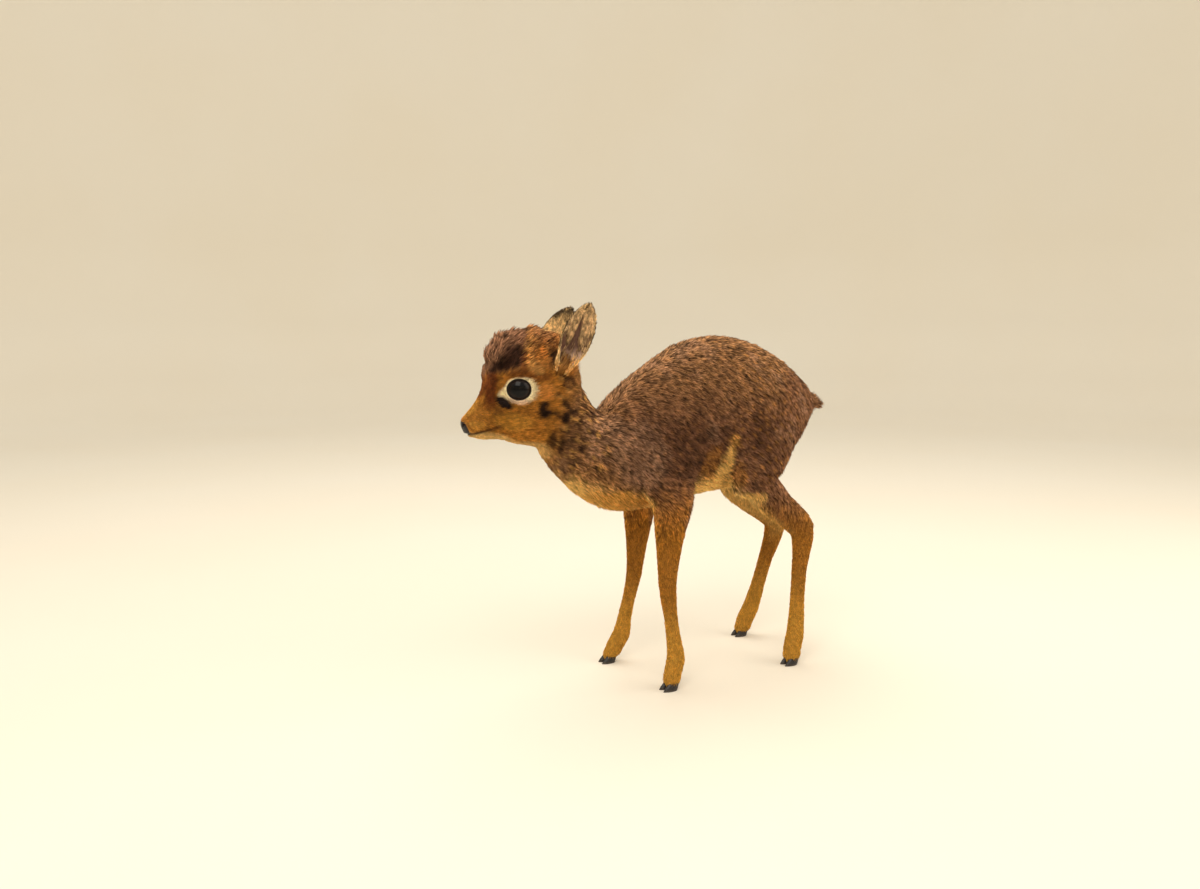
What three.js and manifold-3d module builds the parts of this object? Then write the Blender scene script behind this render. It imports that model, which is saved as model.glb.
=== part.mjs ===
// A young dik-dik standing still with its head up, as a life-size museum model.
// Millimetres. It faces -Y with its left side to +X, and its soles stand at z = 0.
import * as THREE from "three";
import { LoftGeometry } from "three/addons/geometries/LoftGeometry.js";
import { mergeVertices } from "three/addons/utils/BufferGeometryUtils.js";
import Module from "manifold-3d";

const wasm = await Module();
wasm.setup();

// Gap between parts that meet, and how finely the forms are divided.
const GAP = 0.3;
const BODY_SIDES = 28;
const BODY_STEPS = 2;
const HEAD_SIDES = 30;
const HEAD_STEPS = 2;
const LIMB_SIDES = 14;
const LIMB_STEPS = 2;

// Places that set the pose.
const NECK_PIVOT_Y = -125;
const HEAD_TURN = 11;
const FEET = {
  foreleg_left: { hoof: [40.5, -61], fetlock: [39, -54, 24], knee: [35, -60, 82], elbow: [29, -52, 150] },
  foreleg_right: { hoof: [40.5, -71.5], fetlock: [38.5, -59, 24], knee: [34, -48, 82], elbow: [29, -46, 150] },
  hindleg_left: { hoof: [42.4, 63], fetlock: [39.5, 71, 24], hock: [31, 84, 116], stifle: [28, 30, 166] },
  hindleg_right: { hoof: [42.4, 74.5], fetlock: [39, 84, 24], hock: [31, 106, 111], stifle: [28, 42, 165] },
};

// Trunk and neck: back line, belly line (y, z), half width, and where it is widest from belly to back.
const TRUNK = [
  { top: [112, 229.5], low: [107.5, 213], half: 9, level: 0.5 },
  { top: [105.5, 239], low: [94.5, 197], half: 20, level: 0.5 },
  { top: [94, 248.5], low: [78.5, 178], half: 29, level: 0.5 },
  { top: [77, 261], low: [62, 167], half: 34.5, level: 0.5 },
  { top: [56, 272], low: [46, 159], half: 37, level: 0.48 },
  { top: [33, 280], low: [27, 156], half: 38.5, level: 0.45 },
  { top: [10, 282.5], low: [5, 153], half: 39.5, level: 0.42 },
  { top: [-13, 281], low: [-19, 150], half: 39, level: 0.42 },
  { top: [-32, 275], low: [-43, 146], half: 36.5, level: 0.42 },
  { top: [-50, 265], low: [-66, 143], half: 34, level: 0.42 },
  { top: [-67, 254.5], low: [-88, 143], half: 31.5, level: 0.42 },
  { top: [-81, 244], low: [-106, 149], half: 29, level: 0.45 },
  { top: [-91, 234], low: [-120, 158], half: 26.5, level: 0.5 },
  { top: [-99.5, 225], low: [-132, 168], half: 24, level: 0.5 },
  { top: [-106.5, 225.5], low: [-141, 177], half: 22.5, level: 0.5 },
  { top: [-114.5, 232], low: [-149, 188], half: 21.5, level: 0.5 },
  { top: [-121, 243], low: [-155, 197], half: 20, level: 0.5 },
  { top: [-126, 254], low: [-158, 208], half: 17, level: 0.5 },
];

// Head, from the nose back: the same, with y counted forwards from the neck pivot, and the depth
// of the crest's hair over it.
const HEAD = [
  { top: [90.6, 219], low: [88.4, 211.6], half: 4.2, level: 0.5, hair: 0 },
  { top: [88.4, 222.3], low: [84.6, 208.9], half: 7.2, level: 0.5, hair: 0 },
  { top: [84.8, 226.4], low: [79, 206.6], half: 8.7, level: 0.45, hair: 0 },
  { top: [80.6, 231.4], low: [72.5, 205.4], half: 9.8, level: 0.45, hair: 0 },
  { top: [76.6, 237], low: [65.5, 206], half: 11.6, level: 0.45, hair: 0 },
  { top: [73.6, 243], low: [58, 205.5], half: 14.6, level: 0.5, hair: 0.3 },
  { top: [71.2, 250], low: [51, 203.5], half: 18.2, level: 0.55, hair: 2.2 },
  { top: [68.6, 258.6], low: [44, 202], half: 21.2, level: 0.58, hair: 4.4 },
  { top: [64.4, 268.5], low: [37, 200.5], half: 23.3, level: 0.6, hair: 6 },
  { top: [56.6, 277.5], low: [31, 199], half: 24.2, level: 0.6, hair: 6.6 },
  { top: [44, 283], low: [25, 197], half: 24, level: 0.58, hair: 6.4 },
  { top: [29, 284.5], low: [18.5, 197], half: 23, level: 0.55, hair: 5.4 },
  { top: [15, 280], low: [12, 201], half: 21.5, level: 0.55, hair: 3 },
  { top: [5, 268], low: [6, 210], half: 18.5, level: 0.55, hair: 0.5 },
  { top: [-1, 254], low: [1, 224], half: 11, level: 0.5, hair: 0 },
];

// Soft swellings and hollows of the head: y forwards from the pivot, reach and lift.
const HEAD_RELIEF = [
  { name: "brow", at: [23, 54, 258], reach: 7, lift: 1.6 },
  { name: "cheek", at: [20, 36, 218], reach: 10, lift: 1.4 },
  { name: "gland", at: [14, 62.5, 233.5], reach: 4.5, lift: -1.8 },
  { name: "muzzle side", at: [10, 72, 224], reach: 6, lift: -0.9 },
  { name: "upper lip", at: [8, 81, 213], reach: 5, lift: 0.7 },
  { name: "temple", at: [22, 33, 256], reach: 9, lift: -1 },
];

// Eyes and lids.
const EYE = { x: 14.8, forward: 48.4, z: 244, radius: 10.3, gaze: 78 };
const LID_THICKNESS = 1.4;
const LID_OPENING = { half: 9.1, height: 8, length: 16, corner: 0.86 };

// Nose pad, nostrils and mouth.
const NOSE_CUT = { forward: 85.6, z: 219, lean: 24, top: 234 };
const NOSTRIL = { x: 3.7, forward: 89.4, z: 216.6, long: 2.5, wide: 1.1, tilt: 38 };
const MOUTH = { corner: [65.5, 215.6], middle: [76, 211.6], front: [94, 208.9], width: 0.9, depth: 1.3 };

// Ears: half width, roundness of the roll in degrees and cup depth, from root to tip.
const EAR = { length: 53, thick: 1.9, thin: 1.0, sides: 11 };
const EAR_ROWS = [
  { along: 0, half: 6, roll: 150, deep: 6.2 },
  { along: 0.13, half: 7, roll: 134, deep: 6.8 },
  { along: 0.25, half: 8.8, roll: 106, deep: 7.6 },
  { along: 0.38, half: 10.8, roll: 86, deep: 8 },
  { along: 0.52, half: 11.9, roll: 76, deep: 7.6 },
  { along: 0.66, half: 11.9, roll: 70, deep: 6.8 },
  { along: 0.79, half: 10.5, roll: 66, deep: 5.6 },
  { along: 0.89, half: 7.9, roll: 62, deep: 4.2 },
  { along: 0.96, half: 4.8, roll: 60, deep: 2.9 },
  { along: 1, half: 1.7, roll: 60, deep: 1.6 },
];
const EAR_POSE = {
  left: { root: [20.5, 16.4, 258], back: 20.5, out: 17, turn: 12 },
  right: { root: [19.5, 26.5, 262], back: 38, out: 12, turn: -16 },
};

// Crest on the brow and tuft of the tail: flat tapered locks.
const CREST = {
  core: 0.5,
  from: 5.9,
  to: 11.7,
  rows: 7,
  perRow: 5,
  spread: 56,
  narrowing: 15,
  widest: 0.4,
  rise: 19,
  depth: 1.8,
  length: 17.5,
  width: 11.5,
  thick: 2.2,
  bend: 0.1,
  middle: 38,
  level: 250,
};
const TAIL = {
  root: [0, 104, 228],
  tip: [0, 121, 223],
  radius: 5.4,
  rings: 2,
  perRing: 3,
  length: 17,
  width: 9,
  thick: 2.2,
  bend: 0.12,
};

// Hooves.
const HOOF = { length: 13, width: 5.8, height: 6.4, part: 0.5, lean: 2.4 };

const COLOURS = {
  coat: 0x8a6443,
  face: 0x9a6a30,
  shank: 0xa87736,
  ear: 0xa98455,
  horn: 0x1d1714,
  eye: 0x120d0b,
};

const radians = THREE.MathUtils.degToRad;

// Value of a smooth curve through evenly spaced values.
function along(values, t) {
  const place = t * (values.length - 1);
  const i = Math.min(Math.floor(place), values.length - 2);
  const f = place - i;
  const at = (k) => values[Math.max(0, Math.min(values.length - 1, k))];
  const [a, b, c, d] = [at(i - 1), at(i), at(i + 1), at(i + 2)];
  return b + 0.5 * f * (c - a + f * (2 * a - 5 * b + 4 * c - d + f * (3 * (b - c) + d - a)));
}

// Closed solid of a three.js geometry.
function solid(geometry) {
  const plain = new THREE.BufferGeometry().setAttribute("position", geometry.getAttribute("position"));
  const merged = mergeVertices(plain.setIndex(geometry.index), 1e-4);
  return new wasm.Manifold(
    new wasm.Mesh({
      numProp: 3,
      vertProperties: new Float32Array(merged.attributes.position.array),
      triVerts: new Uint32Array(merged.index.array),
    }),
  );
}

// Middle of a section, and the way it winds.
function middleOf(section) {
  return section.reduce((sum, p) => sum.add(p), new THREE.Vector3()).divideScalar(section.length);
}

function windingOf(section) {
  const middle = middleOf(section);
  return section.reduce((sum, p, k) => {
    const next = section[(k + 1) % section.length];
    return sum.add(p.clone().sub(middle).cross(next.clone().sub(middle)));
  }, new THREE.Vector3());
}

// Closed surface through a row of sections, which all wind round the way they run.
function loftGeometry(sections) {
  const run = middleOf(sections[1]).sub(middleOf(sections[0]));
  const rows = windingOf(sections[0]).dot(run) > 0 ? sections : sections.map((s) => [...s].reverse());
  return new LoftGeometry(rows, { closed: true, capStart: true, capEnd: true });
}

function loft(sections) {
  return solid(loftGeometry(sections));
}

// Rounded section on a centre, with half sizes to the side, up and down.
function ring(centre, side, up, half, high, low, count) {
  return Array.from({ length: count }, (_, k) => {
    const a = (2 * Math.PI * k) / count;
    const rise = Math.sin(a) > 0 ? high : low;
    return centre
      .clone()
      .addScaledVector(side, half * Math.cos(a))
      .addScaledVector(up, rise * Math.sin(a));
  });
}

// Sections of a form whose upper and lower outlines lie in the middle plane.
function outlined(rows, steps, count, grow, hair = 0) {
  const total = (rows.length - 1) * steps;
  const read = (pick, t) => along(rows.map(pick), t);
  return Array.from({ length: total + 1 }, (_, k) => {
    const t = k / total;
    const top = new THREE.Vector3(0, read((r) => r.top[0], t), read((r) => r.top[1], t));
    const low = new THREE.Vector3(0, read((r) => r.low[0], t), read((r) => r.low[1], t));
    const level = read((r) => r.level, t);
    const up = top.clone().sub(low);
    const height = up.length();
    const centre = low.clone().addScaledVector(up, level);
    const half = read((r) => r.half, t) + grow;
    const high = height * (1 - level) + grow + hair * read((r) => r.hair ?? 0, t);
    return ring(centre, new THREE.Vector3(1, 0, 0), up.normalize(), half, high, height * level + grow, count);
  });
}

// Solid along a path of stations, each with its place and half sizes across and fore and aft.
function limb(stations, steps = LIMB_STEPS, count = LIMB_SIDES) {
  const path = new THREE.CatmullRomCurve3(stations.map((s) => new THREE.Vector3(...s.at)));
  const total = (stations.length - 1) * steps;
  return loft(
    Array.from({ length: total + 1 }, (_, k) => {
      const t = k / total;
      const way = path.getTangent(t);
      const side = new THREE.Vector3(1, 0, 0).addScaledVector(way, -way.x).normalize();
      const ahead = side.clone().cross(way);
      const across = along(stations.map((s) => s.across), t);
      const deep = along(stations.map((s) => s.deep), t);
      return ring(path.getPoint(t), side, ahead, across, deep, deep, count);
    }),
  );
}

// Part of a solid on the side of a plane that its normal points to.
function ahead(body, normal, point, gap = 0) {
  const n = new THREE.Vector3(...normal).normalize();
  return body.trimByPlane([n.x, n.y, n.z], n.dot(new THREE.Vector3(...point)) + gap);
}

// The two sides of a plane, parted by the gap.
function split(body, normal, point) {
  return [ahead(body, normal, point, GAP / 2), ahead(body, normal.map((v) => -v), point, GAP / 2)];
}

// Largest closed surface of a solid.
function largest(body) {
  return body.decompose().reduce((a, b) => (b.volume() > a.volume() ? b : a));
}

// Trunk, neck and head.
function trunkSolid() {
  return loft(outlined(TRUNK, BODY_STEPS, BODY_SIDES, 0));
}

function headSections(grow, hair = 0) {
  const rows = HEAD.map((r) => ({
    ...r,
    top: [NECK_PIVOT_Y - r.top[0], r.top[1]],
    low: [NECK_PIVOT_Y - r.low[0], r.low[1]],
  }));
  const sections = outlined(rows, HEAD_STEPS, HEAD_SIDES, grow, hair);
  for (const section of sections) {
    const middle = middleOf(section);
    for (const p of section) {
      const out = p.clone().sub(middle).normalize();
      const lift = HEAD_RELIEF.reduce((sum, { at, reach, lift }) => {
        const far = Math.hypot(Math.abs(p.x) - at[0], p.y - (NECK_PIVOT_Y - at[1]), p.z - at[2]);
        return sum + lift * Math.exp(-((far / reach) ** 2));
      }, 0);
      p.addScaledVector(out, lift);
    }
  }
  return sections;
}

function eyeCentre(side) {
  return new THREE.Vector3(side * EYE.x, NECK_PIVOT_Y - EYE.forward, EYE.z);
}

function ball(radius, centre) {
  return solid(new THREE.SphereGeometry(radius, 20, 12).translate(centre.x, centre.y, centre.z));
}

// The slit between the lids: an outline with two corners, pushed out along the gaze.
function lidOpening(side) {
  const shape = new THREE.Shape();
  const count = 28;
  for (let k = 0; k < count; k++) {
    const a = (2 * Math.PI * k) / count;
    const x = LID_OPENING.half * Math.cos(a);
    const y = LID_OPENING.height * Math.sign(Math.sin(a)) * Math.abs(Math.sin(a)) ** LID_OPENING.corner;
    if (k) shape.lineTo(x, y);
    else shape.moveTo(x, y);
  }
  const settings = { depth: LID_OPENING.length, bevelEnabled: false, steps: 1 };
  const geometry = new THREE.ExtrudeGeometry(shape, settings);
  geometry.rotateX(Math.PI / 2);
  geometry.rotateZ(side * radians(EYE.gaze));
  const c = eyeCentre(side);
  return solid(geometry.translate(c.x, c.y, c.z));
}

function mouthGroove(inner) {
  const [corner, middle, front] = [MOUTH.corner, MOUTH.middle, MOUTH.front].map(
    ([forward, z]) => new THREE.Vector2(NECK_PIVOT_Y - forward, z),
  );
  const line = new THREE.QuadraticBezierCurve(corner, middle, front).getPoints(10);
  const shape = new THREE.Shape();
  const half = MOUTH.width / 2;
  shape.moveTo(line[0].x, line[0].y);
  line.slice(1).forEach((p) => shape.lineTo(p.x, p.y + half));
  line.slice(1).reverse().forEach((p) => shape.lineTo(p.x, p.y - half));
  const wide = 60;
  const geometry = new THREE.ExtrudeGeometry(shape, { depth: wide, bevelEnabled: false });
  geometry.applyMatrix4(new THREE.Matrix4().makeBasis(
    new THREE.Vector3(0, 1, 0),
    new THREE.Vector3(0, 0, 1),
    new THREE.Vector3(1, 0, 0),
  ));
  return solid(geometry.translate(-wide / 2, 0, 0)).subtract(inner);
}

function nostril(side) {
  const geometry = new THREE.SphereGeometry(1, 10, 8).scale(NOSTRIL.wide, 3.2, NOSTRIL.long);
  geometry.rotateY(side * radians(NOSTRIL.tilt));
  return solid(geometry.translate(side * NOSTRIL.x, NECK_PIVOT_Y - NOSTRIL.forward, NOSTRIL.z));
}

// One flat tapered lock from a root, bending over towards its lie.
function lock(root, lie, out, length, width, thick, bend) {
  const side = lie.clone().cross(out).normalize();
  const rows = [
    { t: 0, size: 0.75 },
    { t: 0.36, size: 1 },
    { t: 0.72, size: 0.66 },
    { t: 1, size: 0.16 },
  ];
  return loft(
    rows.map(({ t, size }) => {
      const centre = root.clone().addScaledVector(lie, length * t);
      centre.addScaledVector(out, -bend * length * t * t);
      const w = side.clone().multiplyScalar((width / 2) * size);
      const h = out.clone().multiplyScalar((thick / 2) * size);
      return [
        centre.clone().add(w),
        centre.clone().add(h),
        centre.clone().sub(w),
        centre.clone().sub(h),
      ];
    }),
  );
}

// Repeatable random numbers from 0 to 1.
function seeded(seed) {
  let state = seed;
  return () => {
    state = (state * 1664525 + 1013904223) % 4294967296;
    return state / 4294967296;
  };
}

function join(parts) {
  return parts.reduce((a, b) => a.add(b));
}

// Ear as a rolled leaf: outer skin and inner skin of each row close in one crescent.
function earSolid(side) {
  const pose = EAR_POSE[side > 0 ? "left" : "right"];
  const half = EAR.sides;
  const sections = EAR_ROWS.map(({ along: t, half: w, roll, deep }) => {
    const wall = THREE.MathUtils.lerp(EAR.thick, EAR.thin, t);
    const outer = [];
    const inner = [];
    for (let k = 0; k <= half; k++) {
      const v = (2 * k) / half - 1;
      const a = v * radians(roll);
      const thinning = wall * (1 - 0.55 * Math.abs(v) ** 3);
      outer.push(new THREE.Vector3(-deep * Math.cos(a), -w * Math.sin(a), 0));
      inner.unshift(new THREE.Vector3(-(deep - thinning) * Math.cos(a), -(w - thinning) * Math.sin(a) , 0));
    }
    const bow = 4 * t * (1 - t);
    return [...outer, ...inner].map((p) => p.add(new THREE.Vector3(deep - 6 + 2 * bow, 0, t * EAR.length)));
  });
  const geometry = loftGeometry(sections);
  geometry.rotateZ(radians(-pose.turn));
  geometry.rotateX(-radians(pose.back));
  geometry.rotateY(radians(pose.out));
  geometry.translate(pose.root[0], NECK_PIVOT_Y - pose.root[1], pose.root[2]);
  return mirrored(geometry, side);
}

// Solid of a geometry made for the left side, for either side.
function mirrored(geometry, side) {
  if (side < 0) {
    geometry.scale(-1, 1, 1);
    const index = geometry.index.array;
    for (let i = 0; i < index.length; i += 3) [index[i + 1], index[i + 2]] = [index[i + 2], index[i + 1]];
  }
  return solid(geometry);
}

// Names and colours of the finished parts, in the order they are added.
const root = new THREE.Group();
const headGroup = new THREE.Group();
headGroup.position.set(0, NECK_PIVOT_Y, 0);
headGroup.rotation.z = -radians(HEAD_TURN);
root.add(headGroup);

function geometryOf(body) {
  const mesh = body.getMesh();
  const geometry = new THREE.BufferGeometry();
  const count = mesh.numProp;
  const points = new Float32Array(mesh.numVert * 3);
  for (let i = 0; i < mesh.numVert; i++)
    points.set(mesh.vertProperties.subarray(i * count, i * count + 3), 3 * i);
  geometry.setAttribute("position", new THREE.BufferAttribute(points, 3));
  geometry.setIndex(new THREE.BufferAttribute(new Uint32Array(mesh.triVerts), 1));
  return geometry;
}

function addPart(group, name, body, colour, roughness = 0.9) {
  const geometry = geometryOf(largest(body));
  if (group === headGroup) geometry.translate(0, -NECK_PIVOT_Y, 0);
  const material = new THREE.MeshStandardMaterial({ color: colour, roughness, metalness: 0 });
  const mesh = new THREE.Mesh(geometry, material);
  mesh.name = name;
  group.add(mesh);
  return mesh;
}

// Planes that part the head from the neck and the neck from the trunk.
const HEAD_PLANE = { normal: [0, -0.894, 0.447], point: [0, -123.5, 250] };
const NECK_PLANE = { normal: [0, -0.897, 0.441], point: [0, -99, 227] };

function smooth(t) {
  const c = THREE.MathUtils.clamp(t, 0, 1);
  return c * c * (3 - 2 * c);
}

// The neck turns a little more at each step from the trunk to the head.
function bendNeck(geometry) {
  const way = new THREE.Vector3(0, -0.907, 0.42);
  const [from, to] = [188, 213];
  const points = geometry.attributes.position;
  const p = new THREE.Vector3();
  for (let i = 0; i < points.count; i++) {
    p.fromBufferAttribute(points, i);
    const turn = -radians(HEAD_TURN) * smooth((way.dot(p) - from) / (to - from));
    const y = p.y - NECK_PIVOT_Y;
    const [cos, sin] = [Math.cos(turn), Math.sin(turn)];
    points.setXY(i, p.x * cos - y * sin, NECK_PIVOT_Y + p.x * sin + y * cos);
  }
}

// Legs. Each is a tapered form along its bones, thickest in the muscle.
function forelegSolid(side, foot) {
  const [ex, ey, ez] = foot.elbow;
  const [kx, ky, kz] = foot.knee;
  const [fx, fy, fz] = foot.fetlock;
  const mid = (a, b, t) => a + (b - a) * t;
  return join([
    limb([
      { at: [side * 18, ey - 22, 220], across: 8, deep: 14 },
      { at: [side * 20.5, ey - 17, 202], across: 12, deep: 21 },
      { at: [side * 23, ey - 9, 180], across: 12.5, deep: 24 },
      { at: [side * (ex - 2), ey - 3, 160], across: 11, deep: 21 },
      { at: [side * (ex - 0.5), ey - 3, 144], across: 8.6, deep: 14 },
    ]),
    limb([
      { at: [side * (ex - 2), ey + 1, 170], across: 10, deep: 18 },
      { at: [side * ex, ey, ez], across: 10.2, deep: 18 },
      { at: [side * mid(ex, kx, 0.3), mid(ey, ky, 0.36), 130], across: 9.4, deep: 13.8 },
      { at: [side * mid(ex, kx, 0.6), mid(ey, ky, 0.7), 108], across: 8, deep: 9.8 },
      { at: [side * kx, ky, kz + 5], across: 6.7, deep: 7.2 },
      { at: [side * mid(kx, fx, 0.12), mid(ky, fy, 0.12), kz - 8], across: 6, deep: 6.4 },
      { at: [side * mid(kx, fx, 0.45), mid(ky, fy, 0.45), 56], across: 4.9, deep: 5.4 },
      { at: [side * mid(kx, fx, 0.8), mid(ky, fy, 0.8), 37], across: 5.3, deep: 6.2 },
      { at: [side * fx, fy, fz], across: 6.5, deep: 7.6 },
      { at: [side * mid(fx, foot.hoof[0], 0.6), mid(fy, foot.hoof[1], 0.5), 13.5], across: 6.2, deep: 7.2 },
      { at: [side * foot.hoof[0], foot.hoof[1] + 1.6, 3], across: 5.7, deep: 6.4 },
    ]),
  ]);
}

function hindlegSolid(side, foot) {
  const [sx, sy, sz] = foot.stifle;
  const [hx, hy, hz] = foot.hock;
  const [fx, fy, fz] = foot.fetlock;
  const mid = (a, b, t) => a + (b - a) * t;
  return join([
    limb([
      { at: [side * 18, 66, 244], across: 8, deep: 16 },
      { at: [side * 20.5, 59, 226], across: 14, deep: 29 },
      { at: [side * 22.5, 48, 207], across: 16, deep: 34 },
      { at: [side * 24, sy + 7, 186], across: 16, deep: 32.5 },
      { at: [side * (sx - 2), sy + 1, sz], across: 14.5, deep: 25.5 },
      { at: [side * (sx - 1), sy + 4, 152], across: 11, deep: 15 },
    ]),
    limb([
      { at: [side * (sx - 2), sy - 4, sz + 4], across: 12, deep: 13 },
      { at: [side * mid(sx, hx, 0.2), mid(sy, hy, 0.2), mid(sz, hz, 0.24)], across: 12, deep: 16 },
      { at: [side * mid(sx, hx, 0.5), mid(sy, hy, 0.48), mid(sz, hz, 0.54)], across: 10, deep: 14 },
      { at: [side * mid(sx, hx, 0.8), mid(sy, hy, 0.8), mid(sz, hz, 0.8)], across: 8.4, deep: 12.4 },
      { at: [side * hx, hy - 1, hz], across: 7.8, deep: 12 },
      { at: [side * mid(hx, fx, 0.15), mid(hy, fy, 0.1), hz - 16], across: 7, deep: 9 },
      { at: [side * mid(hx, fx, 0.32), mid(hy, fy, 0.38), hz - 34], across: 6, deep: 6.6 },
      { at: [side * mid(hx, fx, 0.62), mid(hy, fy, 0.68), 52], across: 5.6, deep: 6.2 },
      { at: [side * fx, fy, fz + 2], across: 6.9, deep: 7.6 },
      { at: [side * mid(fx, foot.hoof[0], 0.6), mid(fy, foot.hoof[1], 0.56), 14], across: 6.6, deep: 7.8 },
      { at: [side * foot.hoof[0], foot.hoof[1] + 1.8, 3], across: 6, deep: 6.9 },
    ]),
  ]);
}

// One claw: a pointed outline on the floor, drawn in and back towards its top.
function clawSolid(centre, x) {
  const levels = [0, 0.35, 0.75, 1];
  const count = 12;
  return loft(
    levels.map((level) => {
      const shrink = 1 - 0.28 * level * level;
      return Array.from({ length: count }, (_, k) => {
        const a = (2 * Math.PI * k) / count;
        const front = Math.sin(a) > 0;
        const reach = front ? 0.62 * shrink - 0.1 * level : 0.38;
        const narrow = front ? Math.abs(Math.cos(a)) ** 1.3 : Math.abs(Math.cos(a)) ** 0.85;
        return new THREE.Vector3(
          x + Math.sign(Math.cos(a)) * (HOOF.width / 2) * shrink * narrow,
          centre[1] - Math.sin(a) * HOOF.length * reach + HOOF.lean * level,
          level * HOOF.height,
        );
      });
    }),
  );
}

function claws(side, foot) {
  const apart = (HOOF.width + HOOF.part) / 2;
  return [1, -1].map((way) => clawSolid(foot.hoof, side * (foot.hoof[0] + way * apart)));
}

// Region of a leg that its trunk keeps clear of: faces with outward normals.
function region(faces, grow) {
  const big = 800;
  const block = solid(new THREE.BoxGeometry(big, big, big));
  return faces.reduce((body, { out, at }) => ahead(body, out.map((v) => -v), at, -grow), block);
}

function legFaces(kind, side) {
  const fore = [
    { out: [-side, 0, 0], at: [side * 13, 0, 0] },
    { out: [-side * 0.52, 0, 0.85], at: [side * 13, 0, 143] },
    { out: [0, -1, 0.1], at: [0, -98, 150] },
    { out: [0, 1, 0.12], at: [0, -22, 150] },
  ];
  const hind = [
    { out: [-side, 0, 0], at: [side * 6, 0, 0] },
    { out: [-side * 0.8, 0, 0.6], at: [side * 10, 0, 172] },
    { out: [0, -1, -0.3], at: [0, 2, 180] },
    { out: [0, 1, 0], at: [0, 140, 0] },
  ];
  return kind === "foreleg" ? fore : hind;
}

const LEG_CUTS = {
  foreleg: [
    { name: "upper", at: (foot) => [0, foot.knee[1], foot.knee[2] + 6], normal: [0, 0, 1] },
    { name: "cannon", at: (foot) => [0, foot.fetlock[1], 33], normal: [0, 0, 1] },
  ],
  hindleg: [
    {
      name: "thigh",
      at: (foot) => [0, (foot.stifle[1] + foot.hock[1]) / 2 - 4, (foot.stifle[2] + foot.hock[2]) / 2 + 1],
      normal: [0, -0.74, 0.67],
    },
    { name: "gaskin", at: (foot) => [0, foot.hock[1], 98], normal: [0, 0, 1] },
    { name: "cannon", at: (foot) => [0, foot.fetlock[1], 33], normal: [0, 0, 1] },
  ],
};

const SIDES = { left: 1, right: -1 };

function buildHead(wholeFront) {
  const inner = loft(headSections(-MOUTH.depth));
  let head = wholeFront;
  for (const side of [1, -1]) {
    const lids = ball(EYE.radius + GAP + LID_THICKNESS, eyeCentre(side));
    head = head.add(lids).subtract(ball(EYE.radius + GAP, eyeCentre(side))).subtract(lidOpening(side));
  }
  head = head.subtract(mouthGroove(inner));
  const lean = radians(NOSE_CUT.lean);
  const faces = [
    { out: [0, Math.cos(lean), -Math.sin(lean)], at: [0, NECK_PIVOT_Y - NOSE_CUT.forward, NOSE_CUT.z] },
    { out: [0, 0, 1], at: [0, 0, NOSE_CUT.top] },
  ];
  const nose = head.intersect(region(faces, -GAP / 2)).subtract(nostril(1)).subtract(nostril(-1));
  return { nose, face: head.subtract(region(faces, GAP / 2)) };
}

// Point on a form's sections, by its place along them and its angle from the left side.
function onSections(sections, place, angle) {
  const count = sections[0].length;
  const turn = (angle / 360) * count;
  const [i, j] = [Math.floor(place), Math.floor(turn)];
  const at = (a, b) => sections[a][(b + count) % count].clone();
  const near = at(i, j).lerp(at(i, j + 1), turn - j);
  return near.lerp(at(i + 1, j).lerp(at(i + 1, j + 1), turn - j), place - i);
}

// Locks of the crest: rows over the brow and crown that lie back over one another.
function crestLocks() {
  const random = seeded(7);
  const sections = headSections(0, CREST.core);
  const locks = [];
  for (let row = 0; row < CREST.rows; row++) {
    const share = row / (CREST.rows - 1);
    const spread = CREST.spread - CREST.narrowing * (2 * (share - CREST.widest)) ** 2;
    const size = 0.6 + 0.4 * smooth(share * 2.4);
    for (let k = 0; k < CREST.perRow; k++) {
      const across = (2 * k + 1 + (row % 2 ? 0.5 : -0.5)) / CREST.perRow - 1;
      const place = THREE.MathUtils.lerp(CREST.from, CREST.to, share) + 0.3 * (random() - 0.5);
      const root = onSections(sections, place * HEAD_STEPS, 90 + spread * across);
      locks.push(crestLock(root, size * (0.9 + 0.2 * random()), across + 0.3 * (random() - 0.5)));
    }
  }
  return join(locks);
}

function crestLock(root, size, aside) {
  const middle = new THREE.Vector3(0, NECK_PIVOT_Y - CREST.middle, CREST.level);
  const out = root.clone().sub(middle).normalize();
  const back = new THREE.Vector3(0.25 * aside, 1, 0.45);
  back.addScaledVector(out, -back.dot(out)).normalize();
  const rise = radians(CREST.rise);
  const lie = back.clone().multiplyScalar(Math.cos(rise)).addScaledVector(out, Math.sin(rise));
  const flat = out.clone().addScaledVector(lie, -out.dot(lie)).normalize();
  const start = root.clone().addScaledVector(out, -CREST.depth);
  return lock(start, lie, flat, CREST.length * size, CREST.width * Math.sqrt(size), CREST.thick, CREST.bend);
}

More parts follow.
